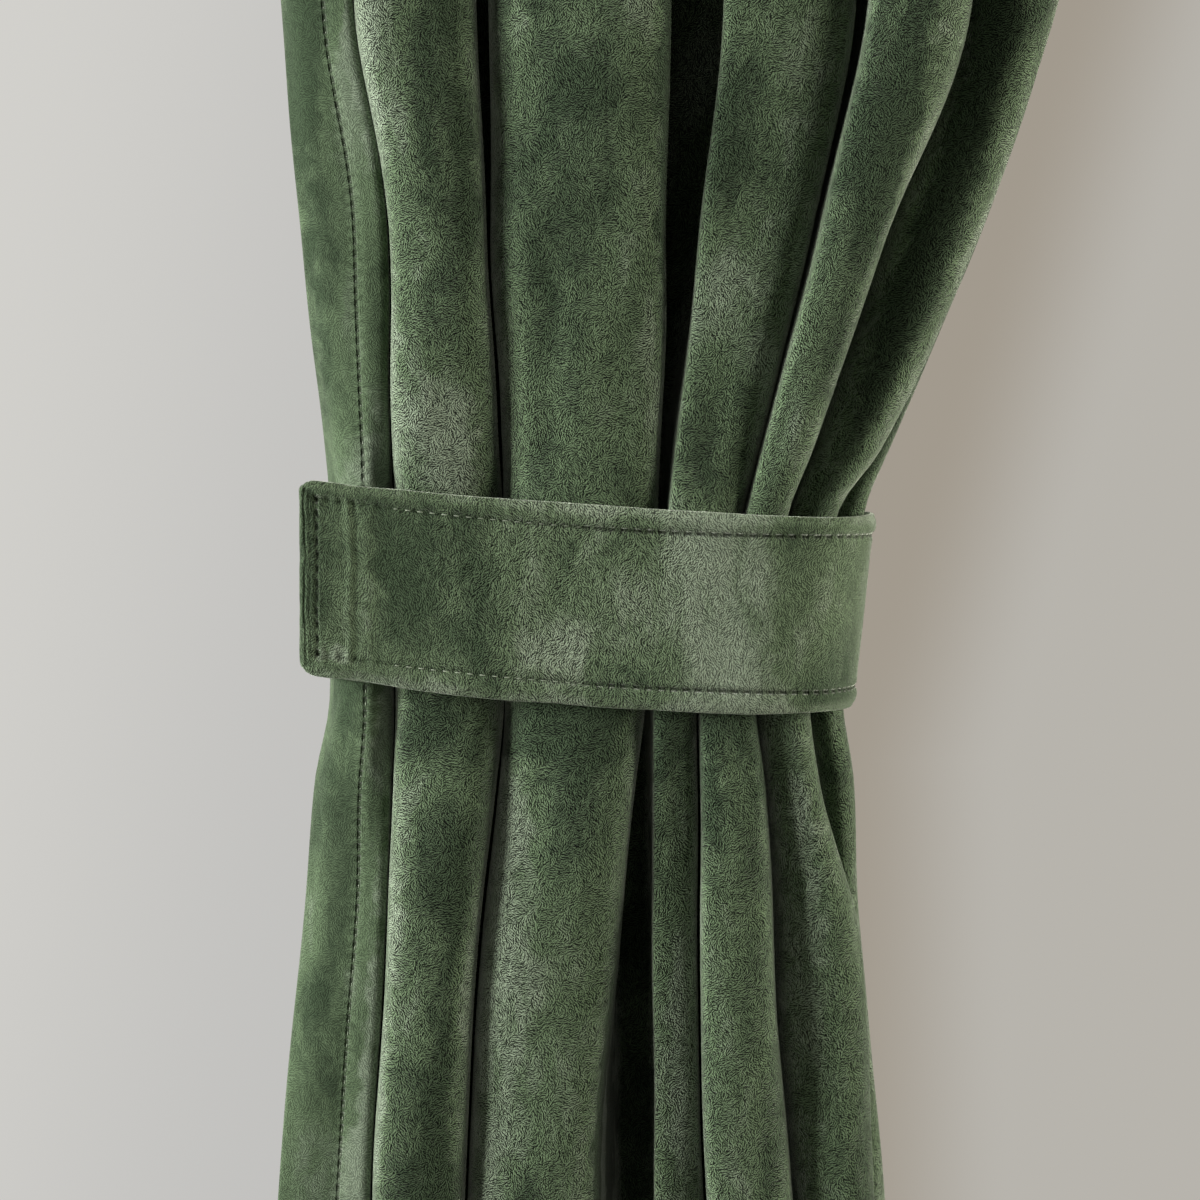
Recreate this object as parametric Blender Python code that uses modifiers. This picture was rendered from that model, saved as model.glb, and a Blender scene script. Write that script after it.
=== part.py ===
"""A velvet drape, hung from its top edge and gathered by a tieback band.

The drape is one sheet.  At every height it follows a folded line: seven folds stand at the front
and six at the back, joined by webs.  The line is as long as the cloth is wide, so the folds reach
deeper where the drape is drawn together.  Every thread from the top to the hem is as long as the
cloth is high, so the hem climbs where the folds are swept sideways.
"""

import bpy
import numpy as np

MM = 0.001

# Driving dimensions of the cloth, in metres.
CLOTH_WIDTH = 1300 * MM
CLOTH_DROP = 2300 * MM
CLOTH_THICKNESS = 2.0 * MM
HEM_THICKNESS = 3.2 * MM
SIDE_HEM = 23 * MM
TOP_HEM = 50 * MM
BOTTOM_HEM = 60 * MM

# Where the band ties the drape: below the top edge, and to the side of the heading's middle.
TIE_DROP = 1350 * MM
TIE_SIDE = -110 * MM

# Driving dimensions of the band, in metres.
BAND_HEIGHT = 77 * MM
BAND_THICKNESS = 3.6 * MM
BAND_CORNER = 5 * MM
BAND_EDGE_ROUND = 1.1 * MM

# Where a fold is narrow, its edges turn over no deeper than this share of its width.
TURN_SHARE = 0.45

# The front folds, from side to side.  A row is a height above the band's middle, then the left and
# right edge of folds 0 to 6, all in millimetres from the line through the band's middle.
FRONT_FOLDS = (
    #       fold 0        fold 1         fold 2         fold 3        fold 4        fold 5        fold 6
    (1350, -180, -144, -106.0, -58.0, -18.0, 42.0, 78.0, 124.0, 162.0, 206.0, 246.0, 292.0, 334, 400),
    (800, -154, -122, -101.0, -54.0, -31.0, 36.0, 64.0, 115.0, 135.0, 180.0, 197.0, 243.0, 257, 302),
    (233, -127.0, -97.0, -96.1, -49.2, -44.1, 29.2, 49.5, 100.2, 104.5, 145.8, 143.0, 179.6, 171, 183),
    (139, -118.6, -84.6, -83.6, -44.3, -42.9, 26.0, 38.7, 83.3, 86.0, 113.0, 112.0, 150.0, 140, 152),
    (57, -109.3, -82.5, -81.5, -39.8, -38.2, 23.6, 29.2, 62.6, 63.5, 83.5, 84.0, 111.2, 108, 116),
    (34, -107.3, -81.8, -80.8, -38.4, -37.5, 22.8, 26.8, 56.5, 57.5, 74.4, 75.4, 94.5, 95.6, 106),
    (0, -107.0, -81.8, -80.8, -38.4, -37.5, 20.5, 23.4, 47.0, 48.0, 67.6, 68.6, 87.0, 88.0, 100.7),
    (-40, -107.5, -81.6, -80.7, -37.9, -37.0, 18.2, 20.9, 38.0, 39.0, 61.2, 62.2, 83.0, 84.0, 97),
    (-75, -113.7, -82.6, -81.5, -40.6, -39.3, 14.2, 20.9, 38.2, 39.2, 65.0, 66.0, 87.0, 88.0, 101.6),
    (-138, -119.8, -85.2, -84.1, -46.9, -45.3, 7.5, 21.1, 39.2, 40.2, 69.0, 70.0, 104.0, 94, 105.5),
    (-235, -128.2, -91.7, -90.6, -54.7, -53.5, -0.8, 22.9, 42.0, 43.0, 77.0, 78.0, 109.5, 103, 115),
    (-600, -144, -108, -105.0, -63.0, -58.0, 0.0, 27.0, 56.0, 60.0, 98.0, 101.0, 134.0, 139, 160),
    (-990, -152, -118, -111.0, -66.0, -58.0, 4.0, 32.0, 70.0, 76.0, 116.0, 121.0, 155.0, 162, 189),
)

# How far forward each front fold stands, as a share of the drape's half depth at that height.
FRONT_REACH = (
    # height  f0    f1    f2    f3    f4    f5    f6
    (1350, 0.80, 1.00, 0.94, 1.00, 0.90, 1.00, 0.86),
    (800, 0.78, 1.00, 0.95, 0.92, 1.00, 0.84, 0.80),
    (233, 0.72, 1.00, 0.95, 0.84, 1.00, 0.62, -0.05),
    (139, 0.75, 1.00, 0.96, 0.86, 1.00, 0.64, 0.02),
    (57, 0.80, 0.96, 0.97, 0.90, 0.98, 0.72, 0.20),
    (34, 0.86, 0.89, 0.98, 0.97, 0.95, 0.80, 0.38),
    (0, 0.88, 0.92, 0.98, 0.98, 0.95, 0.82, 0.40),
    (-40, 0.86, 0.90, 0.97, 0.95, 0.95, 0.82, 0.40),
    (-75, 0.80, 0.98, 0.98, 0.88, 0.98, 0.82, 0.38),
    (-138, 0.76, 1.00, 0.96, 0.80, 0.97, 0.78, 0.10),
    (-235, 0.75, 1.00, 0.95, 0.76, 0.96, 0.80, 0.12),
    (-600, 0.80, 1.00, 0.92, 0.85, 1.00, 0.85, 0.70),
    (-990, 0.85, 1.00, 0.90, 1.00, 0.90, 1.00, 0.85),
)

# The back folds: the middle of each in millimetres, and how much of the way to its nearest
# neighbour each one spreads.
BACK_FOLDS = (
    # height b01   b12  b23  b34  b45  b56  spread
    (1350, -125, -38, 60, 143, 226, 313, 0.20),
    (800, -112, -43, 50, 126, 188, 249, 0.27),
    (233, -100, -50, 34, 95, 131, 156, 0.38),
    (139, -92, -47, 24, 75, 104, 127, 0.38),
    (57, -86, -46, 12, 56, 78, 99, 0.38),
    (34, -85, -46, 12, 52, 71, 89, 0.38),
    (0, -84, -46, 10, 44, 63.5, 82.5, 0.38),
    (-40, -84, -46, 10.5, 36, 56.5, 77.5, 0.38),
    (-75, -87, -47, 12, 36, 58.5, 80, 0.38),
    (-138, -95, -54, 14, 38, 63, 88, 0.38),
    (-235, -103, -62, 16, 41, 70, 95, 0.38),
    (-600, -117, -66, 18, 58, 98, 134, 0.30),
    (-990, -121, -66, 20, 72, 118, 156, 0.22),
)

# How far back each back fold stands, as a share of the half depth.
BACK_REACH = np.array((0.88, 1.00, 0.96, 1.00, 0.97, 0.82))

# The roundness of each front fold from fold 1 on, then of every back fold: where its crest lies, as
# a share of its width; then, for its left and its right side, how deep the side turns over in
# millimetres, and how far in its shoulder lies, as a share of the way to the crest.
FOLD_SHAPES = (
    # crest, left deep, in, right deep, in
    (0.42, 10, 0.20, 12, 0.24),
    (0.46, 15, 0.30, 11, 0.16),
    (0.24, 3.5, 0.12, 10, 0.20),
    (0.42, 6, 0.12, 13, 0.22),
    (0.70, 19, 0.34, 12, 0.28),
    (0.50, 10, 0.20, 10, 0.20),
)
BACK_SHAPE = (0.5, 10, 0.2, 10, 0.2)

# Where the side hem's stitching lies on fold 0, as a share of that fold's width, and how long the
# free leading edge is behind the last fold.
HEM_SEAM_SHARE = 0.66
LEADING_EDGE = 30 * MM

# How far the far edge of fold 0 lies behind the turned edge of fold 1.
EDGE_LAP = 2.8 * MM

# Rows of the mesh: how far down the threads each zone ends, and how many rows it takes.
ROW_ZONES = (
    # end in mm, rows
    (50, 1),
    (1060, 6),
    (1290, 6),
    (1430, 8),
    (1600, 4),
    (2240, 5),
    (2300, 1),
)

# The band's middle line seen from above: across and back, in millimetres from the tie line.  It
# starts at the free end, crosses the front, turns round the right side, crosses the back, and
# ends in front of the left folds, under the free end.
BAND_PLAN = (
    (-117, -50.5),
    (-85, -50.5),
    (-50, -50.3),
    (-15, -49.7),
    (20, -49.5),
    (48, -49.1),
    (70, -47.0),
    (89, -40.1),
    (101, -24),
    (105, 1),
    (101, 26),
    (87, 43.7),
    (64, 49.7),
    (10, 50.7),
    (-40, 50.7),
    (-80, 49.1),
    (-103, 39.6),
    (-111.5, 18),
    (-112.5, -10),
    (-110.7, -31.6),
    (-102.5, -43.5),
    (-88, -46.5),
    (-58, -46.5),
)

# The band leans: its middle line climbs to the left, and its right side is drawn in at the bottom.
BAND_CENTRE = -3.7 * MM
BAND_TILT = -0.069
BAND_SAG = 0.34
BAND_CONE = 0.11
BAND_CONE_REACH = 100 * MM


def read_table(table, heights):
    """Read a table at the given heights above the tie.

    Between two rows each column follows a cubic.  Its slope at a row is the harmonic mean of the
    steps on both sides, or level where they run opposite ways, so a column never overshoots.
    """
    rows = np.array(table, dtype=float)[::-1]
    known = rows[:, 0] * MM
    values = rows[:, 1:]
    run = np.diff(known)
    step = np.diff(values, axis=0) / run[:, None]
    lower, upper = step[:-1], step[1:]
    same_way = lower * upper > 0
    mean = 2 * lower * upper / np.where(same_way, lower + upper, 1)
    slope = np.vstack((step[:1], np.where(same_way, mean, 0), step[-1:]))
    place = np.clip(np.searchsorted(known, heights) - 1, 0, len(run) - 1)
    share = ((heights - known[place]) / run[place])[:, None]
    span = run[place][:, None]
    rest = 1 - share
    return (
        (1 + 2 * share) * rest**2 * values[place]
        + share * rest**2 * span * slope[place]
        + share**2 * (3 - 2 * share) * values[place + 1]
        - share**2 * rest * span * slope[place + 1]
    )


def smooth_line(points, steps):
    """Draw a smooth line through points, shape (lines, points, 2), with so many steps a span.

    Each span is a cubic.  Its end slopes weigh the neighbouring chords by the square roots of
    their lengths, which keeps short spans beside long ones free of loops.
    """
    chord = np.diff(points, axis=1)
    knot = np.sqrt(np.linalg.norm(chord, axis=2))[:, :, None]
    rate = chord / knot
    before, after = knot[:, :-1], knot[:, 1:]
    inner = (rate[:, :-1] * after + rate[:, 1:] * before) / (before + after)
    slope = np.concatenate((rate[:, :1], inner, rate[:, -1:]), axis=1)
    pieces = []
    for span, count in enumerate(steps):
        share = (np.arange(count) / count)[None, :, None]
        rest = 1 - share
        reach = knot[:, span : span + 1]
        start, end = points[:, span : span + 1], points[:, span + 1 : span + 2]
        pieces.append(
            (1 + 2 * share) * rest**2 * start
            + share * rest**2 * reach * slope[:, span : span + 1]
            + share**2 * (3 - 2 * share) * end
            - share**2 * rest * reach * slope[:, span + 1 : span + 2]
        )
    pieces.append(points[:, -1:])
    return np.concatenate(pieces, axis=1)


def turned_fold(left, right, crest, way, shape):
    """Five points of a fold: its left edge, shoulder, crest, right shoulder and right edge.

    `way` is -1 for a fold that stands to the front and 1 for one that stands to the back.
    """
    place, left_turn, left_in, right_turn, right_in = shape
    most = TURN_SHARE * (right - left)
    left_turn, right_turn = np.minimum(left_turn * MM, most), np.minimum(right_turn * MM, most)
    middle = left + place * (right - left)
    across = (left, left + left_in * (middle - left), middle, right - right_in * (right - middle), right)
    turns = (left_turn, 0.31 * left_turn, 0 * left, 0.31 * right_turn, right_turn)
    return [np.stack((x, crest - way * turn), axis=1) for x, turn in zip(across, turns)]


def hem_fold(left, right, crest, next_edge):
    """Five points of fold 0: the hem's edge, its middle, its seam, the cloth beyond and the far edge.

    The hem panel turns away from the front, most of all at its edge, until it looks as narrow as
    it should.  The far edge lies close behind the turned edge of fold 1.  Where that is not far
    back, the seam lies in a shallow valley.
    """
    width = right - left
    seen = HEM_SEAM_SHARE * width
    turned = np.sqrt(np.maximum(SIDE_HEM**2 - seen**2, 0))
    beyond = next_edge + EDGE_LAP - crest
    valley = 0.3 * MM + 0.36 * np.clip(10.5 * MM - beyond, 0, None)
    across = (left, left + 0.34 * seen, left + seen, left + 0.80 * width, right)
    deep = (turned + valley, 0.34 * turned + valley, valley, 0.45 * valley + 0.22 * beyond, beyond)
    return [np.stack((x, crest + y), axis=1) for x, y in zip(across, deep)]


def fold_points(heights, half_depth):
    """The corner points of the folded line at each height."""
    edges = read_table(FRONT_FOLDS, heights) * MM
    left = edges[:, 0::2] + CLOTH_THICKNESS / 2
    right = edges[:, 1::2] - CLOTH_THICKNESS / 2
    crest = -read_table(FRONT_REACH, heights) * half_depth[:, None]
    back = read_table(BACK_FOLDS, heights)
    middle = back[:, :-1] * MM
    apart = np.diff(middle, axis=1)
    nearest = np.minimum(np.hstack((apart[:, :1], apart)), np.hstack((apart, apart[:, -1:])))
    reach = nearest * back[:, -1:]
    first = turned_fold(left[:, 1], right[:, 1], crest[:, 1], -1, FOLD_SHAPES[0])
    points = hem_fold(left[:, 0], right[:, 0], crest[:, 0], first[0][:, 1])
    for fold in range(1, left.shape[1]):
        gap = fold - 1
        behind = BACK_REACH[gap] * half_depth
        start, end = middle[:, gap] - reach[:, gap], middle[:, gap] + reach[:, gap]
        points += turned_fold(start, end, behind, 1, BACK_SHAPE)
        points += turned_fold(left[:, fold], right[:, fold], crest[:, fold], -1, FOLD_SHAPES[gap])
    last = points[-1]
    points.append(last + np.array((-0.5 * MM, 0.5 * LEADING_EDGE)))
    points.append(last + np.array((-3.5 * MM, LEADING_EDGE)))
    return np.stack(points, axis=1)


def line_steps(points, fold_steps, web_steps):
    """Steps for each span: every fold has four spans, and a web joins it to the next fold."""
    folds = 2 * BACK_REACH.size + 1
    steps = ([fold_steps] * 4 + [web_steps]) * folds
    steps[-1] = fold_steps
    steps.append(fold_steps)
    assert len(steps) == points.shape[1] - 1
    return steps


def folded_line(heights, fold_steps, web_steps):
    """The drape's line at each height: across and back, as long as the cloth is wide.

    The half depth starts from a guess and is corrected by the missing length over the number of
    times that the webs cross the depth.
    """
    half_depth = np.full(len(heights), 42 * MM)
    crossings = 4 * BACK_REACH.size
    for _ in range(8):
        points = fold_points(heights, half_depth)
        line = smooth_line(points, line_steps(points, 4, 4))
        length = np.linalg.norm(np.diff(line, axis=1), axis=2).sum(axis=1)
        half_depth = half_depth + (CLOTH_WIDTH - length) / crossings
    points = fold_points(heights, half_depth)
    return smooth_line(points, line_steps(points, fold_steps, web_steps))


def row_places():
    """How far down the threads each row of the mesh lies."""
    places = [0.0]
    for end, rows in ROW_ZONES:
        places.extend(np.linspace(places[-1], end * MM, rows + 1)[1:])
    return np.array(places)


def drape_sheet(fold_steps=1, web_steps=2, height_steps=300):
    """Points of the drape's middle surface, shape (rows, columns, 3).

    Each column is one thread.  Its length is measured down the folds, and every row crosses it
    at the same length from the top.
    """
    heights = np.linspace(TIE_DROP, TIE_DROP - CLOTH_DROP - 20 * MM, height_steps)
    line = folded_line(heights, fold_steps, web_steps)
    z = np.broadcast_to(heights[:, None, None] - TIE_DROP, line.shape[:2] + (1,))
    threads = np.concatenate((line + np.array((TIE_SIDE, 0)), z), axis=2)
    step = np.linalg.norm(np.diff(threads, axis=0), axis=2)
    down = np.vstack((np.zeros(step.shape[1]), np.cumsum(step, axis=0)))
    rows = row_places()
    columns = [
        [np.interp(rows, down[:, column], threads[:, column, axis]) for axis in range(3)]
        for column in range(threads.shape[1])
    ]
    return np.array(columns).transpose(2, 0, 1)


def hem_share(sheet):
    """1 where the cloth is turned over in a hem, and the plain thickness's share elsewhere."""
    step = np.linalg.norm(np.diff(sheet, axis=1), axis=2)
    across = np.hstack((np.zeros((len(step), 1)), np.cumsum(step, axis=1)))
    from_side = np.minimum(across, across[:, -1:] - across)
    down = row_places()[:, None]
    slack = 2 * MM
    hemmed = (from_side < SIDE_HEM + slack) | (down < TOP_HEM + slack)
    hemmed |= down > CLOTH_DROP - BOTTOM_HEM - slack
    return np.where(hemmed, 1.0, CLOTH_THICKNESS / HEM_THICKNESS)


def band_plan_line(samples):
    """The band's middle line seen from above, and how far along it each point lies."""
    points = np.array(BAND_PLAN)[None] * MM
    line = smooth_line(points, [samples] * (len(BAND_PLAN) - 1))[0]
    along = np.concatenate(([0.0], np.cumsum(np.linalg.norm(np.diff(line, axis=0), axis=1))))
    return line, along


def band_stations(length):
    """Places along the band: close together in its rounded corners, even between them."""
    corner = BAND_CORNER * (1 - np.cos(np.linspace(0, np.pi / 2, 3)))
    middle = np.linspace(BAND_CORNER, length - BAND_CORNER, 62)[1:-1]
    return np.concatenate((corner, middle, length - corner[::-1]))


def band_sheet(levels=5):
    """Points of the band's middle surface, shape (levels, stations, 3).

    Half the height shrinks to a quarter circle in each end's corners.  The right side leans in
    towards the bottom, and the whole band climbs to the left.
    """
    line, along = band_plan_line(12)
    places = band_stations(along[-1])
    x = np.interp(places, along, line[:, 0])
    y = np.interp(places, along, line[:, 1])
    into = np.clip(BAND_CORNER - np.minimum(places, along[-1] - places), 0, None)
    half = BAND_HEIGHT / 2 - BAND_CORNER + np.sqrt(BAND_CORNER**2 - into**2)
    level = np.linspace(1, -1, levels)[:, None]
    rise = level * half
    lean = np.clip(x / BAND_CONE_REACH, 0, 1) ** 2
    across = x + BAND_CONE * lean * rise
    centre = BAND_CENTRE + BAND_TILT * x + BAND_SAG * x**2
    z = rise + centre - TIE_DROP
    return np.stack((across + TIE_SIDE, np.broadcast_to(y, z.shape), z), axis=2)


def grid_object(name, points, collection):
    """An open quad grid through points of shape (rows, columns, 3)."""
    rows, columns = points.shape[:2]
    corner = (np.arange(rows - 1)[:, None] * columns + np.arange(columns - 1)).ravel()
    faces = np.stack((corner, corner + columns, corner + columns + 1, corner + 1), axis=1)
    mesh = bpy.data.meshes.new(name)
    mesh.from_pydata(points.reshape(-1, 3).tolist(), [], faces.tolist())
    mesh.shade_smooth()
    item = bpy.data.objects.new(name, mesh)
    collection.objects.link(item)
    return item


def velvet(name, colour, roughness):
    """A plain velvet colour for one piece."""
    material = bpy.data.materials.new(name)
    material.use_nodes = True
    shader = material.node_tree.nodes["Principled BSDF"]
    shader.inputs["Base Color"].default_value = (*colour, 1.0)
    shader.inputs["Roughness"].default_value = roughness
    shader.inputs["Metallic"].default_value = 0.0
    return material


def build_drape(collection):
    """The drape: its folded sheet, with thickness, thicker in the hems."""
    sheet = drape_sheet()
    drape = grid_object("drape", sheet, collection)
    group = drape.vertex_groups.new(name="hem")
    for index, share in enumerate(hem_share(sheet).ravel()):
        group.add([index], float(share), "REPLACE")
    solid = drape.modifiers.new("thickness", "SOLIDIFY")
    solid.thickness = HEM_THICKNESS
    solid.offset = 0.0
    solid.vertex_group = group.name
    solid.use_quality_normals = True
    drape.data.materials.append(velvet("drape_velvet", (0.085, 0.14, 0.085), 0.9))


def build_tieback(collection):
    """The tieback: its strip, with thickness and rounded edges."""
    tieback = grid_object("tieback", band_sheet(), collection)
    solid = tieback.modifiers.new("thickness", "SOLIDIFY")
    solid.thickness = BAND_THICKNESS
    solid.offset = 0.0
    solid.use_quality_normals = True
    rounding = tieback.modifiers.new("edges", "BEVEL")
    rounding.width = BAND_EDGE_ROUND
    rounding.segments = 2
    rounding.limit_method = "ANGLE"
    rounding.angle_limit = np.radians(60)
    tieback.data.materials.append(velvet("tieback_velvet", (0.10, 0.16, 0.10), 0.9))


def main():
    """Clear the scene, then build both pieces in their own collection."""
    for item in list(bpy.data.objects):
        bpy.data.objects.remove(item, do_unlink=True)
    collection = bpy.data.collections.new("velvet_drape_with_tieback")
    bpy.context.scene.collection.children.link(collection)
    build_drape(collection)
    build_tieback(collection)


main()
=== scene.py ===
"""Looks of a velvet drape with its tieback.

Laid out as a Blender add-on and run as a script.  The packed model is loaded first, as a fixed
frame in metres: +Z up, the front of the drape towards -Y.  Every operator makes one dressed piece,
or one group of like pieces, and the stage.  The drape's folds and the band's loop are worked out
as their solids are.  Small things differ: the last fold's hidden edge and roundness, the valley
beside the hem, the draw of the band's edges, and how finely the rows lie.  The sheets' rounded
rims stand outside their borders, so the band's middle line starts a little later.
"""

import bpy
import numpy as np
from bpy.props import FloatProperty, FloatVectorProperty, IntProperty, PointerProperty
from bpy.types import Operator, Panel, PropertyGroup
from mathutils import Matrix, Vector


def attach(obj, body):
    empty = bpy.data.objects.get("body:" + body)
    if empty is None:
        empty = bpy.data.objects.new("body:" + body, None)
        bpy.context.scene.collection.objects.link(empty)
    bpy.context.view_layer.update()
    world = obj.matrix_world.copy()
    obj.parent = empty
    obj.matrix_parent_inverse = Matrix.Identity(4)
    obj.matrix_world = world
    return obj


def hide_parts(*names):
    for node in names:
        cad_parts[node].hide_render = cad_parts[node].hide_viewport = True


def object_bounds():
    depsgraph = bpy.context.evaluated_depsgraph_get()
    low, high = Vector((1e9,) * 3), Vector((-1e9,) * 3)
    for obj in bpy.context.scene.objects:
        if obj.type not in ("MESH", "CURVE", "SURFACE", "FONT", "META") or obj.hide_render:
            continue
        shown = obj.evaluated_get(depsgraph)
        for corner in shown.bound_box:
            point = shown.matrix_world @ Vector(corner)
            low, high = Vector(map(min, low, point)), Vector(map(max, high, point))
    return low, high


bl_info = {
    "name": "Velvet Drape with Tieback",
    "version": (1, 0, 0),
    "blender": (4, 5, 0),
    "location": "View3D > Sidebar > Drape",
    "description": "Builds the cloth, the stitching and the stage of a velvet drape with a tieback",
    "category": "Add Mesh",
}

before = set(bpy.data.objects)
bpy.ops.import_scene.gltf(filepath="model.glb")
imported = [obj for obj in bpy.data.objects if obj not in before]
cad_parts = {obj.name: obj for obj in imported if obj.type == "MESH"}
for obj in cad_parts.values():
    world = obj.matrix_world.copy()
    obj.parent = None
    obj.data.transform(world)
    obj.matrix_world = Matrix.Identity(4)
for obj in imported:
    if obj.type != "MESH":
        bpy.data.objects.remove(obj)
SOLID_BOX = [list(corner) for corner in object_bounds()]
BODY = "root"
MM = 0.001

# From one stitch to the next, in every row but the one across the band's free end.
STITCH_LENGTH = 4.9 * MM
END_STITCH_LENGTH = 5.44 * MM

# Where the band ties the drape: below the top edge, and to the side of the heading's middle.
TIE_DROP = 1350 * MM
TIE_SIDE = -110 * MM

# At how many heights the folded line is worked out, about one for every 2 mm.
FOLD_LEVELS = 1160

# Where a fold is narrow, its edges turn over no deeper than this share of its width.
TURN_SHARE = 0.45

# The front folds, from side to side.  A row is a height above the band's middle, then the left and
# right edge of folds 0 to 6, all in millimetres from the line through the band's middle.
FRONT_FOLDS = (
    # height, then folds 0, 1, 2, 3, 4, 5 and 6
    (1350, -180, -144, -106, -58, -18, 42, 78, 124, 162, 206, 246, 292, 334, 400),
    (800, -154, -122, -101, -54, -31, 36, 64, 115, 135, 180, 197, 243, 257, 302),
    (233, -127, -97, -96.1, -49.2, -44.1, 29.2, 49.5, 100.2, 104.5, 145.8, 143, 179.6, 171, 183),
    (139, -118.6, -84.6, -83.6, -44.3, -42.9, 26, 38.7, 83.3, 86, 113, 112, 150, 140, 152),
    (57, -109.3, -82.5, -81.5, -39.8, -38.2, 23.6, 29.2, 62.6, 63.5, 83.5, 84, 111.2, 107.6, 116),
    (34, -107.3, -81.8, -80.8, -38.4, -37.5, 22.8, 26.8, 56.5, 57.5, 74.4, 75.4, 94.5, 95.6, 106),
    (0, -107, -81.8, -80.8, -38.4, -37.5, 20.5, 23.4, 47, 48, 67.6, 68.6, 87, 88, 100.7),
    (-40, -107.5, -81.6, -80.7, -37.9, -37, 18.2, 20.9, 38, 39, 61.2, 62.2, 83, 84, 97),
    (-75, -113.7, -82.6, -81.5, -40.6, -39.3, 14.2, 20.9, 38.2, 39.2, 65, 66, 87, 88, 101.6),
    (-138, -119.8, -85.2, -84.1, -46.9, -45.3, 7.5, 21.1, 39.2, 40.2, 69, 70, 104, 96, 105.5),
    (-235, -128.2, -91.7, -90.6, -54.7, -53.5, -0.8, 22.9, 42, 43, 77, 78, 109.5, 103, 115),
    (-600, -144, -108, -105, -63, -58, 0, 27, 56, 60, 98, 101, 134, 139, 160),
    (-990, -152, -118, -111, -66, -58, 4, 32, 70, 76, 116, 121, 155, 162, 189),
)

# How far forward each front fold stands, as a share of the drape's half depth at that height.
FRONT_REACH = (
    # height  f0    f1    f2    f3    f4    f5    f6
    (1350, 0.80, 1.00, 0.94, 1.00, 0.90, 1.00, 0.86),
    (800, 0.78, 1.00, 0.95, 0.92, 1.00, 0.84, 0.80),
    (233, 0.72, 1.00, 0.95, 0.84, 1.00, 0.62, -0.05),
    (139, 0.75, 1.00, 0.96, 0.86, 1.00, 0.64, 0.02),
    (57, 0.80, 0.96, 0.97, 0.90, 0.98, 0.72, 0.20),
    (34, 0.86, 0.89, 0.98, 0.97, 0.95, 0.80, 0.38),
    (0, 0.88, 0.92, 0.98, 0.98, 0.95, 0.82, 0.40),
    (-40, 0.86, 0.90, 0.97, 0.95, 0.95, 0.82, 0.40),
    (-75, 0.80, 0.98, 0.98, 0.88, 0.98, 0.82, 0.38),
    (-138, 0.76, 1.00, 0.96, 0.80, 0.97, 0.78, 0.10),
    (-235, 0.75, 1.00, 0.95, 0.76, 0.96, 0.80, 0.12),
    (-600, 0.80, 1.00, 0.92, 0.85, 1.00, 0.85, 0.70),
    (-990, 0.85, 1.00, 0.90, 1.00, 0.90, 1.00, 0.85),
)

# The back folds: the middle of each in millimetres, and how much of the way to its nearest
# neighbour each one spreads.
BACK_FOLDS = (
    # height b01   b12  b23  b34  b45  b56  spread
    (1350, -125, -38, 60, 143, 226, 313, 0.20),
    (800, -112, -43, 50, 126, 188, 249, 0.27),
    (233, -100, -50, 34, 95, 131, 156, 0.38),
    (139, -92, -47, 24, 75, 104, 127, 0.38),
    (57, -86, -46, 12, 56, 78, 99, 0.38),
    (34, -85, -46, 12, 52, 71, 89, 0.38),
    (0, -84, -46, 10, 44, 63.5, 82.5, 0.38),
    (-40, -84, -46, 10.5, 36, 56.5, 77.5, 0.38),
    (-75, -87, -47, 12, 36, 58.5, 80, 0.38),
    (-138, -95, -54, 14, 38, 63, 88, 0.38),
    (-235, -103, -62, 16, 41, 70, 95, 0.38),
    (-600, -117, -66, 18, 58, 98, 134, 0.30),
    (-990, -121, -66, 20, 72, 118, 156, 0.22),
)

# How far back each back fold stands, as a share of the half depth.
BACK_REACH = np.array((0.88, 1.00, 0.96, 1.00, 0.97, 0.82))

# The roundness of each front fold from fold 1 on, then of every back fold: where its crest lies, as
# a share of its width; then, for its left and its right side, how deep the side turns over in
# millimetres, and how far in its shoulder lies, as a share of the way to the crest.
FOLD_SHAPES = (
    # crest, left deep, in, right deep, in
    (0.42, 10, 0.20, 12, 0.24),
    (0.46, 15, 0.30, 11, 0.16),
    (0.24, 3.5, 0.12, 10, 0.20),
    (0.42, 6, 0.12, 13, 0.22),
    (0.70, 19, 0.34, 12, 0.28),
    (0.50, 10, 0.34, 10, 0.34),
)
BACK_SHAPE = (0.5, 10, 0.2, 10, 0.2)

# Where the side hem's stitching lies on fold 0, as a share of that fold's width, and how long the
# free leading edge is behind the last fold.
HEM_SEAM_SHARE = 0.66
LEADING_EDGE = 30 * MM

# How far the far edge of fold 0 lies behind the turned edge of fold 1.
EDGE_LAP = 2.8 * MM

# Columns of the drape's mesh: steps for the spans of each part of the folded line.
HEM_STEPS = (5, 6, 4, 4)
FRONT_STEPS = (2, 8, 8, 2)
BACK_STEPS = (2, 6, 6, 2)
WEB_STEPS = 9
EDGE_STEPS = (4, 5)

# Rows of the drape's mesh: how far down the threads each zone ends, and how many rows it takes.
ROW_ZONES = (
    # end in mm, rows
    (50, 3),
    (1060, 22),
    (1640, 76),
    (2240, 14),
    (2300, 3),
)

# Slow waves that loosen the folds.  Each one pushes the cloth across and back, in millimetres, has
# a length across and a length down, and starts at a share of a turn.
SLOW_WAVES = (
    # across, back, across mm, down mm, start
    (0.8, 0.5, 310, 420, 0.10),
    (0.5, 0.6, 150, -230, 0.55),
    (0.3, 0.5, 85, 140, 0.30),
    (0.2, 0.35, 58, -95, 0.80),
)

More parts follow.
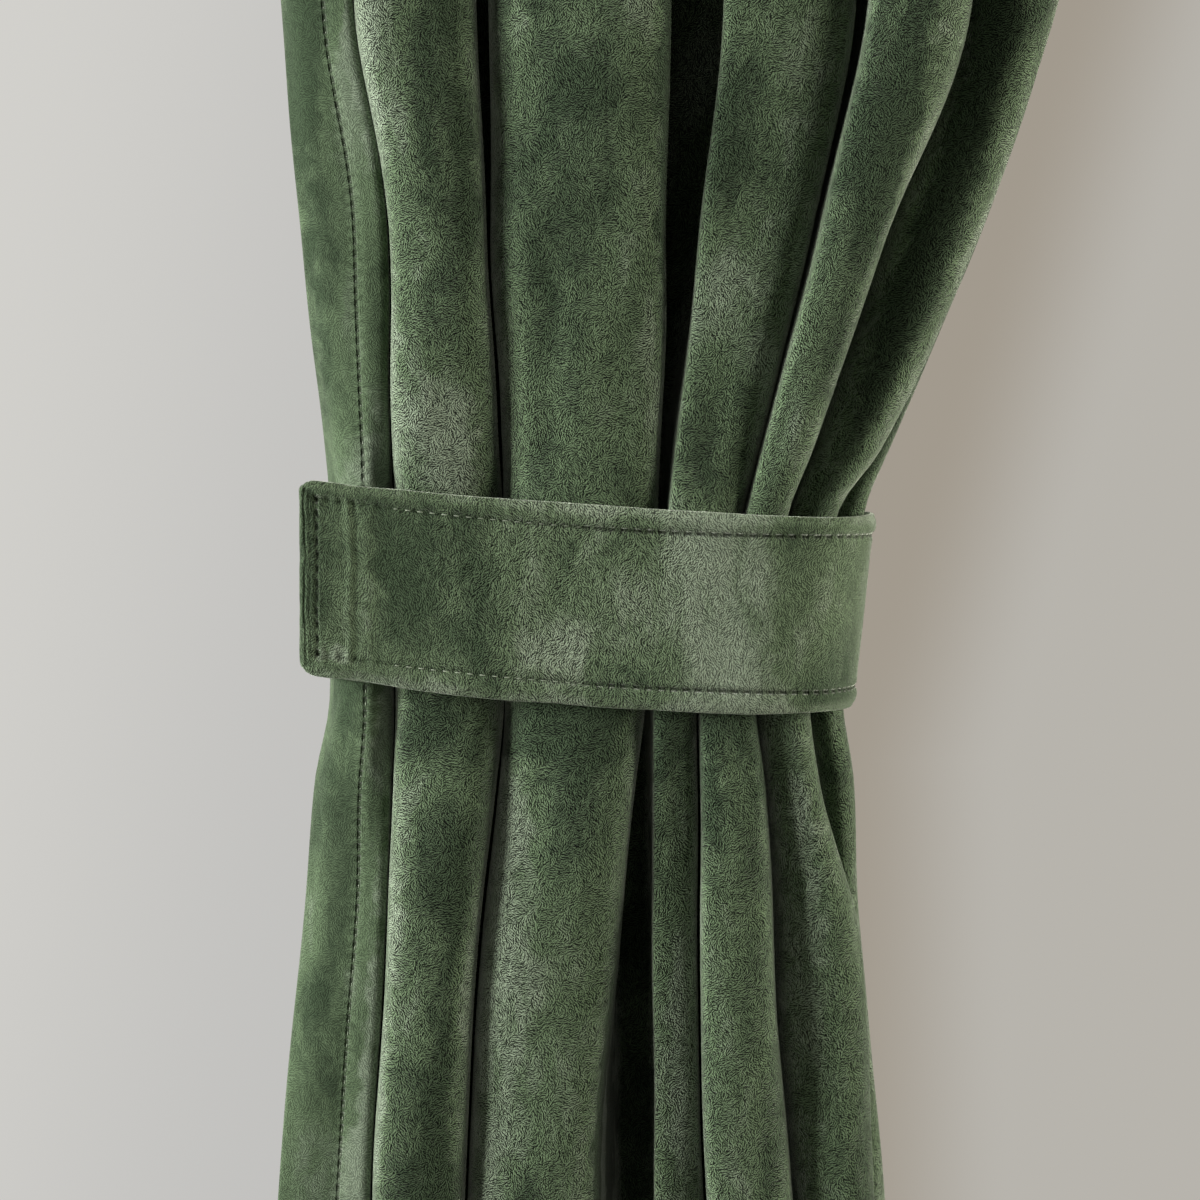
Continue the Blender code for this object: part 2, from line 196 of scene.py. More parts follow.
# Soft troughs and ridges pressed into the front of the folds, more of them close to the band.  A
# trough is pushed in by its depth, a ridge has a depth below nought.
CREASES = (
    # across, height, depth, half width, half length, lean (mm across for each mm up)
    (-19, 95, 1.3, 6, 55, 0.02),
    (-31, 100, -0.7, 5, 60, 0.00),
    (8, 75, 0.8, 7, 40, 0.10),
    (-60, 75, 0.8, 8, 36, -0.12),
    (-72, 62, -0.5, 5, 22, 0.25),
    (45, 70, 0.9, 5, 35, 0.28),
    (36, 120, -0.6, 7, 50, 0.20),
    (70, 62, 1.0, 4, 26, 0.45),
    (-96, 80, 0.8, 7, 40, -0.15),
    (-70, -70, 0.9, 8, 28, 0.12),
    (-52, -95, -0.7, 6, 40, 0.10),
    (-22, -75, 1.1, 6, 32, 0.16),
    (-5, -110, -0.6, 7, 44, 0.12),
    (-100, -66, 0.9, 5, 22, 0.20),
    (30, -70, 0.7, 4, 26, 0.00),
    (52, -62, 0.9, 5, 20, -0.25),
    (76, -70, 0.9, 5, 30, -0.10),
)

# Patches that lighten the drape's pile (above nought) or darken it (below it).  Some are pile that
# is brushed over or stroked upright; many are painted shade, under the band, in the gaps between
# the folds and on fold edges turned from the light, and some are painted highlights on the lit rims
# of the folds and beside the hem.
CLOTH_PILE_AND_PAINTED_LIGHT_PATCHES = (
    # across, up from the top edge, half width, half height, amount
    (12, -1190, 12, 80, -0.62),
    (16, -1274, 11, 28, -0.36),
    (6, -1290, 12, 34, -0.40),
    (30, -1218, 9, 60, -0.60),
    (36, -1125, 5, 50, 0.80),
    (14, -1380, 14, 30, -0.30),
    (12, -1515, 14, 40, -0.20),
    (25, -1462, 6, 50, 0.16),
    (32, -1308, 6, 36, 0.60),
    (32, -1405, 6, 30, 0.60),
    (36, -1530, 6, 110, 0.90),
    (18, -1575, 10, 34, -0.30),
    (208, -1300, 8, 300, 0.70),
    (236, -1215, 14, 90, -0.66),
    (247, -1190, 7, 60, -0.36),
    (230, -1289, 17, 30, 0.88),
    (234, -1302, 9, 12, 0.40),
    (248, -1295, 6, 36, -0.42),
    (225, -1403, 28, 20, -0.66),
    (217, -1440, 9, 38, 0.24),
    (247, -1490, 6, 44, -0.40),
    (221, -1545, 8, 110, 0.52),
    (222, -1190, 9, 40, 0.30),
    (236, -1452, 12, 30, -0.40),
    (246, -1565, 9, 50, -0.66),
    (447, -1125, 6, 24, 0.60),
    (475, -1140, 12, 60, -0.30),
    (474, -1185, 20, 50, -0.30),
    (466, -1260, 30, 80, -0.46),
    (507, -1190, 6, 130, -0.80),
    (468, -1402, 30, 19, -0.72),
    (456, -1442, 10, 36, 0.80),
    (466, -1482, 14, 34, 0.46),
    (480, -1435, 10, 40, -0.50),
    (498, -1440, 8, 40, -0.20),
    (512, -1565, 8, 90, -0.90),
    (590, -1575, 70, 70, -0.80),
    (697, -1205, 6, 50, -0.10),
    (732, -1180, 10, 70, 0.20),
    (708, -1150, 16, 60, -0.28),
    (708, -1225, 28, 130, -0.14),
    (712, -1288, 13, 44, -0.56),
    (701, -1288, 8, 40, -0.42),
    (683, -1404, 8, 22, -0.90),
    (693, -1404, 22, 22, -0.66),
    (700, -1550, 14, 60, 0.60),
    (920, -1150, 6, 60, -0.60),
    (933, -1158, 9, 66, -0.90),
    (950, -1150, 7, 60, 0.46),
    (916, -1215, 16, 110, -0.10),
    (895, -1404, 18, 24, -0.66),
    (912, -1404, 7, 24, -0.70),
    (918, -1432, 8, 26, -0.70),
    (890, -1440, 8, 44, -0.60),
    (905, -1465, 12, 50, 0.10),
    (888, -1560, 12, 60, -0.28),
    (1118, -1180, 11, 110, -0.95),
    (1112, -1404, 7, 24, -0.50),
    (1106, -1460, 8, 28, 0.60),
    (1100, -1540, 14, 80, 0.60),
)

# The band's middle line seen from above: across and back, in millimetres from the tie line.  It
# starts at the free end, crosses the front, turns round the right side, crosses the back, and
# ends in front of the left folds, under the free end.
BAND_PLAN = (
    (-115.5, -50.5),
    (-85, -50.5),
    (-50, -50.3),
    (-15, -49.7),
    (20, -49.5),
    (48, -49.1),
    (70, -47.0),
    (89, -40.1),
    (101, -24),
    (105, 1),
    (101, 26),
    (87, 43.7),
    (64, 49.7),
    (10, 50.7),
    (-40, 50.7),
    (-80, 49.1),
    (-103, 39.6),
    (-111.5, 18),
    (-112.5, -10),
    (-110.7, -31.6),
    (-102.5, -43.5),
    (-88, -46.5),
    (-58, -46.5),
)

# Patches of the band's pile that are brushed over (above nought) or stroked upright (below it).
BAND_PATCHES = (
    # along, up from the top edge, half width, half height, amount
    (34, -40, 9, 26, -0.30),
    (52, -34, 24, 28, -0.44),
    (54, -58, 16, 14, -0.40),
    (36, -64, 16, 10, -0.20),
    (25, -48, 4, 24, 0.20),
    (98, -58, 16, 15, 0.50),
    (84, -32, 14, 14, 0.16),
    (103, -18, 4, 6, -0.24),
    (121, -15, 5, 8, -0.24),
    (128, -64, 10, 5, -0.36),
    (108, -43, 18, 18, 0.34),
    (150, -50, 22, 20, 0.22),
    (162, -22, 20, 14, 0.22),
    (198, -40, 20, 32, 0.34),
    (8, -38, 9, 32, -0.06),
    (12, -68, 8, 3.5, 0.56),
    (188, -40, 9, 34, -0.12),
)

# How far the band's rolled edges draw in beyond its stitches, which leaves it lower at its free end
# and round the bend than at its middle.
BAND_EDGES = (
    # along, top edge down, bottom edge up
    (0, 2.7, 1.0),
    (12, 2.4, 1.0),
    (20, 2.6, 2.0),
    (40, 1.6, 0.7),
    (60, 1.3, 0.3),
    (80, 0.8, 0.3),
    (98, 0.4, 0.9),
    (118, 0.3, 0.5),
    (136, 0.6, 0.8),
    (156, 0.7, 0.6),
    (176, 1.3, 0.5),
    (196, 1.8, 1.2),
    (212, 1.9, 1.4),
    (240, 1.0, 1.0),
    (420, 1.0, 1.0),
    (470, 3.4, 1.0),
    (627, 3.4, 1.0),
)

# The band's left bend hangs lower towards the back, by this much for each metre.
BAND_DIP = 0.055

# The band leans: its middle line climbs to the left, and its right side is drawn in at the bottom.
BAND_CENTRE = -3.7 * MM
BAND_TILT = -0.069
BAND_SAG = 0.34
BAND_CONE = 0.11
BAND_CONE_REACH = 100 * MM

# The square lamps: the strongest to the left, the others in front, to the right and behind.
LAMPS = (
    # name, place, side in metres, power in watts, tint
    ("window_light", (-2.1, -0.53, -0.95), 0.9, 43.0, (1.0, 0.985, 0.95)),
    ("room_light", (-0.6, -2.2, -0.7), 1.6, 1.0, (1.0, 0.97, 0.92)),
    ("wall_light", (1.9, -0.30, -1.0), 1.0, 26.0, (1.0, 0.94, 0.84)),
    ("back_light", (0.5, 2.3, -0.8), 1.6, 12.0, (1.0, 0.97, 0.92)),
)


# ---------------------------------------------------------------- settings


def length(name, description, default):
    """A length in metres, shown in the scene's own units."""
    return FloatProperty(
        name=name, description=description, default=default, min=0.0, precision=5, unit="LENGTH"
    )


def angle(name, description, default):
    """An angle in radians, shown in the scene's own units."""
    return FloatProperty(
        name=name, description=description, default=default, subtype="ANGLE", unit="ROTATION"
    )


def colour(name, description, default):
    """A linear colour."""
    return FloatVectorProperty(
        name=name, description=description, default=default, size=3, min=0.0, max=1.0,
        subtype="COLOR",
    )


class ClothSettings(PropertyGroup):
    """Sizes and colours of the drape."""

    width: length("Width", "Width of the flat panel", 1.300)
    drop: length("Drop", "Height of the flat panel", 2.300)
    thickness: length("Thickness", "Thickness of the velvet with its pile", 0.0020)
    hem_thickness: length("Hem Thickness", "Thickness where the cloth is turned over", 0.0032)
    side_hem: length("Side Hem", "Width of the side hems", 0.023)
    top_hem: length("Top Hem", "Height of the top hem", 0.050)
    bottom_hem: length("Bottom Hem", "Height of the bottom hem", 0.060)
    seam_sink: length("Seam Sink", "How deep a row of stitches pulls the pile in", 0.0006)
    pile_lean: angle("Pile Lean", "How far the pile's strokes lean from upright", -0.45)
    pile_swing: angle("Pile Swing", "How far they swing to either side of that", 1.15)
    deep: colour("Deep Green", "Pile that stands towards the eye", (0.030, 0.047, 0.026))
    middle: colour("Middle Green", "Pile that lies evenly", (0.066, 0.098, 0.054))
    pale: colour("Pale Green", "Pile that is brushed over", (0.138, 0.174, 0.124))


class TiebackSettings(PropertyGroup):
    """Sizes and colours of the tieback."""

    height: length("Height", "Height of the band", 0.077)
    thickness: length("Thickness", "Thickness of the doubled band", 0.0036)
    corner: length("Corner", "Radius of the corners at the ends", 0.005)
    seam_inset: length("Seam Inset", "From a long edge to its row of stitches", 0.0080)
    roll: length("Rolled Edge", "How far a rolled edge stands above the band", 0.0007)
    seam_sink: length("Seam Sink", "How deep a row of stitches pulls the pile in", 0.0010)
    patch_start: length("Patch Start", "From the free end to the sewn patch", 0.0055)
    patch_end: length("Patch End", "From the free end to the far side of the sewn patch", 0.0190)
    pile_lean: angle("Pile Lean", "How far the pile's strokes lean from upright", 0.0)
    pile_swing: angle("Pile Swing", "How far they swing to either side of that", 0.75)
    deep: colour("Deep Green", "Pile that stands towards the eye", (0.036, 0.056, 0.031))
    middle: colour("Middle Green", "Pile that lies evenly", (0.078, 0.112, 0.064))
    pale: colour("Pale Green", "Pile that is brushed over", (0.156, 0.194, 0.140))


class ThreadSettings(PropertyGroup):
    """Sizes and colour of the sewing thread."""

    pitch: length("Stitch Length", "From one stitch to the next", STITCH_LENGTH)
    thread: length("Thread", "Thickness of the thread", 0.00042)
    shown: FloatProperty(
        name="Shown Share", description="Share of each stitch that lies on the cloth", default=0.62,
        min=0.2, max=0.95, subtype="FACTOR",
    )
    side_pairs: IntProperty(
        name="Thread Side Pairs", description="Half the number of faces round a stitch", default=3,
        min=2, max=4,
    )
    colour: colour("Thread Colour", "Colour of the thread", (0.270, 0.330, 0.230))


class StageSettings(PropertyGroup):
    """The floor, the light and the camera."""

    floor_gap: length("Floor Gap", "From the hem to the floor", 0.010)
    floor_size: length("Floor Size", "Side of the floor", 6.0)
    floor: colour("Floor", "Colour of the floor", (0.60, 0.59, 0.57))
    lens: FloatProperty(
        name="Lens", description="Focal length in millimetres", default=100.0, min=10.0
    )
    distance: length("Distance", "From the camera to the front of the band", 1.30)
    elevation: angle("Elevation", "Height of the camera above the level", np.radians(3.0))


class DrapeSettings(PropertyGroup):
    """Everything that a user would change."""

    cloth: PointerProperty(type=ClothSettings)
    tieback: PointerProperty(type=TiebackSettings)
    thread: PointerProperty(type=ThreadSettings)
    stage: PointerProperty(type=StageSettings)


# ---------------------------------------------------------------- the folded line


def read_table(table, heights):
    """Read a table at the given heights above the tie.

    Between two rows each column follows a cubic.  Its slope at a row is the harmonic mean of the
    steps on both sides, or level where they run opposite ways, so a column never overshoots.
    """
    rows = np.array(table, dtype=float)[::-1]
    known = rows[:, 0] * MM
    values = rows[:, 1:]
    run = np.diff(known)
    step = np.diff(values, axis=0) / run[:, None]
    lower, upper = step[:-1], step[1:]
    same_way = lower * upper > 0
    mean = 2 * lower * upper / np.where(same_way, lower + upper, 1)
    slope = np.vstack((step[:1], np.where(same_way, mean, 0), step[-1:]))
    place = np.clip(np.searchsorted(known, heights) - 1, 0, len(run) - 1)
    share = ((heights - known[place]) / run[place])[:, None]
    span = run[place][:, None]
    rest = 1 - share
    return (
        (1 + 2 * share) * rest**2 * values[place]
        + share * rest**2 * span * slope[place]
        + share**2 * (3 - 2 * share) * values[place + 1]
        - share**2 * rest * span * slope[place + 1]
    )


def smooth_line(points, steps):
    """Draw a smooth line through points, shape (lines, points, 2), with so many steps a span.

    Each span is a cubic.  Its end slopes weigh the neighbouring chords by the square roots of
    their lengths, which keeps short spans beside long ones free of loops.
    """
    chord = np.diff(points, axis=1)
    knot = np.sqrt(np.linalg.norm(chord, axis=2))[:, :, None]
    rate = chord / knot
    before, after = knot[:, :-1], knot[:, 1:]
    inner = (rate[:, :-1] * after + rate[:, 1:] * before) / (before + after)
    slope = np.concatenate((rate[:, :1], inner, rate[:, -1:]), axis=1)
    pieces = []
    for span, count in enumerate(steps):
        share = (np.arange(count) / count)[None, :, None]
        rest = 1 - share
        reach = knot[:, span : span + 1]
        start, end = points[:, span : span + 1], points[:, span + 1 : span + 2]
        pieces.append(
            (1 + 2 * share) * rest**2 * start
            + share * rest**2 * reach * slope[:, span : span + 1]
            + share**2 * (3 - 2 * share) * end
            - share**2 * rest * reach * slope[:, span + 1 : span + 2]
        )
    pieces.append(points[:, -1:])
    return np.concatenate(pieces, axis=1)


def turned_fold(left, right, crest, way, shape):
    """Five points of a fold: its left edge, shoulder, crest, right shoulder and right edge.

    `way` is -1 for a fold that stands to the front and 1 for one that stands to the back.
    """
    place, left_turn, left_in, right_turn, right_in = shape
    most = TURN_SHARE * (right - left)
    left_turn, right_turn = np.minimum(left_turn * MM, most), np.minimum(right_turn * MM, most)
    middle = left + place * (right - left)
    near, far = left + left_in * (middle - left), right - right_in * (right - middle)
    across = (left, near, middle, far, right)
    turns = (left_turn, 0.31 * left_turn, 0 * left, 0.31 * right_turn, right_turn)
    return [np.stack((x, crest - way * turn), axis=1) for x, turn in zip(across, turns)]


def hem_fold(left, right, crest, next_edge, side_hem):
    """Five points of fold 0: the hem's edge, its middle and seam, the cloth beyond, the far edge.

    The hem panel turns away from the front, most of all at its edge, until it looks as narrow as
    it should.  The far edge lies close behind the turned edge of fold 1.  Where that is not far
    back, the seam lies in a shallow valley.
    """
    width = right - left
    seen = HEM_SEAM_SHARE * width
    turned = np.sqrt(np.maximum(side_hem**2 - seen**2, 0))
    beyond = next_edge + EDGE_LAP - crest
    valley = 0.3 * MM + 0.26 * np.clip(10.5 * MM - beyond, 0, None)
    across = (left, left + 0.34 * seen, left + seen, left + 0.80 * width, right)
    deep = (turned + valley, 0.34 * turned + valley, valley, 0.45 * valley + 0.22 * beyond, beyond)
    return [np.stack((x, crest + y), axis=1) for x, y in zip(across, deep)]


def fold_points(heights, half_depth, cloth):
    """The corner points of the folded line at each height."""
    edges = read_table(FRONT_FOLDS, heights) * MM
    left = edges[:, 0::2] + cloth.thickness / 2
    right = edges[:, 1::2] - cloth.thickness / 2
    crest = -read_table(FRONT_REACH, heights) * half_depth[:, None]
    back = read_table(BACK_FOLDS, heights)
    middle = back[:, :-1] * MM
    apart = np.diff(middle, axis=1)
    nearest = np.minimum(np.hstack((apart[:, :1], apart)), np.hstack((apart, apart[:, -1:])))
    reach = nearest * back[:, -1:]
    first = turned_fold(left[:, 1], right[:, 1], crest[:, 1], -1, FOLD_SHAPES[0])
    points = hem_fold(left[:, 0], right[:, 0], crest[:, 0], first[0][:, 1], cloth.side_hem)
    for fold in range(1, left.shape[1]):
        gap = fold - 1
        behind = BACK_REACH[gap] * half_depth
        start, end = middle[:, gap] - reach[:, gap], middle[:, gap] + reach[:, gap]
        points += turned_fold(start, end, behind, 1, BACK_SHAPE)
        points += turned_fold(left[:, fold], right[:, fold], crest[:, fold], -1, FOLD_SHAPES[gap])
    last = points[-1]
    points.append(last + np.array((-0.5 * MM, 0.5 * LEADING_EDGE)))
    points.append(last + np.array((-3.5 * MM, LEADING_EDGE)))
    return np.stack(points, axis=1)


def line_steps():
    """Steps for each span of the folded line, from the hem to the leading edge."""
    steps = list(HEM_STEPS)
    for _ in BACK_REACH:
        steps += [WEB_STEPS, *BACK_STEPS, WEB_STEPS, *FRONT_STEPS]
    return steps + list(EDGE_STEPS)


def folded_line(heights, cloth):
    """The drape's line at each height: across and back, as long as the cloth is wide.

    The half depth starts from a guess and is corrected by the missing length over the number of
    half depths that the webs cross.
    """
    half_depth = np.full(len(heights), 42 * MM)
    crossings = 4 * BACK_REACH.size
    steps = line_steps()
    for _ in range(8):
        line = smooth_line(fold_points(heights, half_depth, cloth), [4] * len(steps))
        reached = np.linalg.norm(np.diff(line, axis=1), axis=2).sum(axis=1)
        half_depth = half_depth + (cloth.width - reached) / crossings
    return smooth_line(fold_points(heights, half_depth, cloth), steps)


def row_places():
    """How far down the threads each row of the mesh lies."""
    places = [0.0]
    for end, rows in ROW_ZONES:
        places.extend(np.linspace(places[-1], end * MM, rows + 1)[1:])
    return np.array(places)


def run_along(points, axis):
    """How far along its line each point lies, from the first one."""
    step = np.linalg.norm(np.diff(points, axis=axis), axis=-1)
    start = np.zeros_like(np.take(step, [0], axis=axis))
    return np.concatenate((start, np.cumsum(step, axis=axis)), axis=axis)


def smooth_step(value, low, high):
    """0 below low, 1 above high, and a soft cubic between them."""
    share = np.clip((value - low) / (high - low), 0, 1)
    return share * share * (3 - 2 * share)


def loosen(points):
    """Bend the space that the cloth hangs in: slow waves, then the soft creases of the front.

    A wave adds its push times the sine of its phase, which grows evenly across and down.  A crease
    adds its depth times a bell across its own leaning line and a bell along it, and fades out
    behind the front folds.  Both fade out under the band, so the cloth keeps clear of it.
    """
    across = (points[..., 0] - TIE_SIDE) / MM
    height = (points[..., 2] + TIE_DROP) / MM
    free = smooth_step(np.abs(height), 44, 120)
    moved = points.copy()
    for push_x, push_y, wave_x, wave_z, start in SLOW_WAVES:
        wave = np.sin(2 * np.pi * (across / wave_x + height / wave_z + start))
        moved[..., 0] += push_x * MM * wave * free
        moved[..., 1] += push_y * MM * wave * free
    front = smooth_step(-points[..., 1], 8 * MM, 26 * MM) * smooth_step(np.abs(height), 42, 56)
    for x, z, depth, half_width, half_length, lean in CREASES:
        up = (height - z) / half_length
        side = (across - x - lean * (height - z)) / half_width
        moved[..., 1] += depth * MM * np.exp(-(side**2) - up**2) * front
    return moved


def drape_cloth(cloth):
    """The drape's middle surface and its cloth coordinates.

    Gives the points, shape (rows, columns, 3), how far across the flat panel each lies and how far
    down.  Each column is one thread, and a row crosses all of them at the same length from the top.
    """
    heights = np.linspace(TIE_DROP, TIE_DROP - cloth.drop - 20 * MM, FOLD_LEVELS)
    line = folded_line(heights, cloth)
    z = np.broadcast_to(heights[:, None, None] - TIE_DROP, line.shape[:2] + (1,))
    threads = np.concatenate((line + np.array((TIE_SIDE, 0)), z), axis=2)
    down = run_along(threads, 0)
    rows = row_places()
    columns = [
        [np.interp(rows, down[:, column], threads[:, column, axis]) for axis in range(3)]
        for column in range(threads.shape[1])
    ]
    points = loosen(np.array(columns).transpose(2, 0, 1))
    across = run_along(points, 1)
    across *= cloth.width / across[:, -1:]
    return points, across, np.broadcast_to(rows[:, None], across.shape)


def facing(points):
    """Unit directions that stand on a grid of points, out of its front."""
    down = np.gradient(points, axis=0)
    right = np.gradient(points, axis=1)
    out = np.cross(down, right)
    return out / np.linalg.norm(out, axis=2, keepdims=True)


# ---------------------------------------------------------------- meshes


def put_mesh(name, points, faces, uv, slots=None):
    """A smooth mesh object from whole arrays: points, four corners a face, places on the cloth."""
    mesh = bpy.data.meshes.new(name)
    mesh.vertices.add(len(points))
    mesh.vertices.foreach_set("co", points.astype(np.float32).ravel())
    mesh.loops.add(faces.size)
    mesh.loops.foreach_set("vertex_index", faces.astype(np.int32).ravel())
    mesh.polygons.add(len(faces))
    mesh.polygons.foreach_set("loop_start", np.arange(0, faces.size, 4, dtype=np.int32))
    if slots is not None:
        mesh.polygons.foreach_set("material_index", slots.astype(np.int32))
    mesh.update(calc_edges=True)
    layer = mesh.uv_layers.new(name="cloth")
    layer.uv.foreach_set("vector", uv[faces.ravel()].astype(np.float32).ravel())
    mesh.shade_smooth()
    item = bpy.data.objects.new(name, mesh)
    bpy.context.scene.collection.objects.link(item)
    return item


def grid_faces(rows, columns):
    """The four corners of each face of a grid, turned so that the face looks out of the front."""
    corner = (np.arange(rows - 1)[:, None] * columns + np.arange(columns - 1)).ravel()
    return np.stack((corner, corner + columns, corner + columns + 1, corner + 1), axis=1)


def grid_border(rows, columns):
    """The places of a grid's border, once round: top, right side, bottom, left side."""
    place = np.arange(rows * columns).reshape(rows, columns)
    return np.concatenate((place[0, :-1], place[:-1, -1], place[-1, :0:-1], place[:0:-1, 0]))


def closed_sheet(name, front, back, across, down, rings=3):
    """A sheet of cloth between two grids that lie before and behind its middle, with a rounded rim.

    The rim is a half circle.  A point on it is the middle of the two borders, plus half the way
    between them times the cosine of its angle, plus the outward direction times half the thickness
    and the sine.  Outward is square to the border and to the way through the sheet.  The flat
    coordinates run on outwards over the rim by its length.
    """
    rows, columns = across.shape
    count = rows * columns
    border = grid_border(rows, columns)
    face_a, face_b = front.reshape(-1, 3), back.reshape(-1, 3)
    edge_a, edge_b = face_a[border], face_b[border]
    middle, half = (edge_a + edge_b) / 2, (edge_a - edge_b) / 2
    out = np.cross(half, np.roll(middle, -1, axis=0) - np.roll(middle, 1, axis=0))
    out /= np.linalg.norm(out, axis=1, keepdims=True)
    reach = np.linalg.norm(half, axis=1, keepdims=True)
    flat = np.stack((across.ravel(), -down.ravel()), axis=1)
    along = np.roll(flat[border], -1, axis=0) - np.roll(flat[border], 1, axis=0)
    beyond = along[:, ::-1] * (-1, 1) / np.linalg.norm(along, axis=1, keepdims=True) * reach
    angles = np.pi * np.arange(1, rings + 1) / (rings + 1)
    rim = [middle + half * np.cos(angle) + out * reach * np.sin(angle) for angle in angles]
    every_point = np.concatenate([face_a, face_b, *rim])
    faces = grid_faces(rows, columns)
    around = np.arange(len(border))
    rim_loops = [2 * count + ring * len(border) + around for ring in range(rings)]
    loops = [border, *rim_loops, border + count]
    sides = [
        np.stack((near, np.roll(near, -1), np.roll(far, -1), far), axis=1)
        for near, far in zip(loops[:-1], loops[1:])
    ]
    every = np.concatenate([faces, faces[:, ::-1] + count, *sides])
    slots = np.zeros(len(every), dtype=np.int32)
    slots[len(faces) : 2 * len(faces)] = 1
    rim_uv = [flat[border] + beyond * min(angle, np.pi - angle) for angle in angles]
    return put_mesh(name, every_point, every, np.concatenate([flat, flat, *rim_uv]), slots)


def thread_stitches(name, rows_of_stitches, thread):
    """Short arched stitches, one after another, on several rows of sewing.

    A row is the points of its path, the directions that stand on the cloth there, and how far the
    thread is lifted.  Along a stitch the thread follows the path; its middle stands above the
    cloth by a power of the cosine of the place along it, and it narrows to its ends, which sink
    into the pile.  Each end is closed by faces that join opposite corners.
    """
    stations = np.linspace(-1, 1, 5)
    sides = 2 * thread.side_pairs
    turn = 2 * np.pi * np.arange(sides) / sides
    one = np.arange(len(stations) * sides).reshape(len(stations), sides)
    near, far = one[:-1], one[1:]
    body = np.stack((near, np.roll(near, -1, 1), np.roll(far, -1, 1), far), axis=2).reshape(-1, 4)
    pair = np.arange(thread.side_pairs - 1)
    cap = np.stack((pair, sides - 1 - pair, sides - 2 - pair, pair + 1), axis=1)
    faces = np.concatenate((body, one[0][cap], one[-1][cap[:, ::-1]]))
    all_points, all_faces, all_uv, start = [], [], [], 0
    for path, out, lift in rows_of_stitches:
        along = run_along(path, 0)
        count = int(along[-1] / thread.pitch)
        middle = (np.arange(count) + 0.5) * along[-1] / count
        places = middle[:, None] + stations * thread.pitch * thread.shown / 2
        centre = np.stack([np.interp(places, along, path[:, axis]) for axis in range(3)], axis=2)
        up = np.stack([np.interp(places, along, out[:, axis]) for axis in range(3)], axis=2)
        raise_by = np.interp(middle, along, lift)[:, None]
        way = np.gradient(centre, axis=1)
        way /= np.linalg.norm(way, axis=2, keepdims=True)
        side = np.cross(up, way)
        side /= np.linalg.norm(side, axis=2, keepdims=True)
        arch = np.cos(stations * np.pi / 2) ** 0.7
        centre = centre + up * (raise_by + (arch - 1) * 1.6 * thread.thread)[..., None]
        radius = thread.thread / 2 * (0.55 + 0.45 * arch)
        ring = side[:, :, None] * np.cos(turn)[:, None] + up[:, :, None] * np.sin(turn)[:, None]
        points = centre[:, :, None] + ring * radius[:, None, None]
        first = start + np.arange(count)[:, None, None] * one.size
        all_faces.append((faces[None] + first).reshape(-1, 4))
        all_points.append(points.reshape(-1, 3))
        flat = np.stack(np.broadcast_arrays(places[:, :, None], turn * thread.thread), axis=3)
        all_uv.append(flat.reshape(-1, 2))
        start += count * one.size
    return put_mesh(name, *[np.concatenate(part) for part in (all_points, all_faces, all_uv)])


# ---------------------------------------------------------------- materials


def add(tree, kind, inputs=(), **fields):
    """Add a node, set its fields, then fill its inputs with values or with other nodes' outputs."""
    node = tree.nodes.new(kind)
    for field, value in fields.items():
        setattr(node, field, value)
    for key, value in dict(inputs).items():
        if isinstance(value, bpy.types.NodeSocket):
            tree.links.new(value, node.inputs[key])
        else:
            node.inputs[key].default_value = value
    return node


def maths(tree, operation, *values, clamp=False):
    """The output of one Math node."""
    inputs = dict(enumerate(values))
    return add(tree, "ShaderNodeMath", inputs, operation=operation, use_clamp=clamp).outputs[0]


def vector_maths(tree, operation, inputs):
    """The output of one Vector Math node."""
    return add(tree, "ShaderNodeVectorMath", inputs, operation=operation).outputs[0]


def ramp(tree, value, low, high, to_low=0.0, to_high=1.0):
    """A value carried softly from one range to another, and held at its ends."""
    inputs = {"Value": value, "From Min": low, "From Max": high}
    inputs |= {"To Min": to_low, "To Max": to_high}
    return add(tree, "ShaderNodeMapRange", inputs, interpolation_type="SMOOTHSTEP").outputs[0]


def stretched(tree, vector, turn, scale):
    """A flat coordinate turned by an angle in degrees, then scaled on its two axes."""
    inputs = {"Vector": vector, "Angle": np.radians(turn)}
    turned = add(tree, "ShaderNodeVectorRotate", inputs, rotation_type="Z_AXIS")
    return vector_maths(tree, "MULTIPLY", {0: turned.outputs[0], 1: (*scale, 1.0)})


def noise(tree, vector, detail=2.0, roughness=0.5, distortion=0.0):
    """A flat cloudy pattern with blobs about one unit wide."""
    inputs = {"Vector": vector, "Scale": 1.0, "Detail": detail, "Roughness": roughness}
    inputs["Distortion"] = distortion
    return add(tree, "ShaderNodeTexNoise", inputs, noise_dimensions="2D").outputs["Fac"]


def blend(tree, share, first, second, kind="FLOAT"):
    """Two values or two colours blended by a share; each kind has sockets of its own."""
    start, end, result = (2, 3, 0) if kind == "FLOAT" else (6, 7, 2)
    inputs = {0: share, start: first, end: second}
    return add(tree, "ShaderNodeMix", inputs, data_type=kind).outputs[result]


def bumped(tree, shader, height):
    """Let a height in metres bend the way that a surface faces."""
    bump = add(tree, "ShaderNodeBump", {"Height": height, "Strength": 1.0, "Distance": 1.0})
    tree.links.new(bump.outputs["Normal"], shader.inputs["Normal"])


def new_material(name, **values):
    """A material with plain values on its shader: gives it, its tree and its shader."""
    material = bpy.data.materials.new(name)
    material.use_nodes = True
    shader = material.node_tree.nodes["Principled BSDF"]
    for key, value in values.items():
        shader.inputs[key.replace("_", " ")].default_value = value
    return material, material.node_tree, shader


def new_group(name, inputs, outputs):
    """An empty shader group with named inputs (name, kind, value) and outputs (name, kind)."""
    group = bpy.data.node_groups.new(name, "ShaderNodeTree")
    for label, kind, value in inputs:
        socket = group.interface.new_socket(name=label, in_out="INPUT", socket_type=kind)
        if value is not None:
            socket.default_value = value
    for label, kind in outputs:
        group.interface.new_socket(name=label, in_out="OUTPUT", socket_type=kind)
    given, made = group.nodes.new("NodeGroupInput"), group.nodes.new("NodeGroupOutput")
    return group, given.outputs, made.inputs


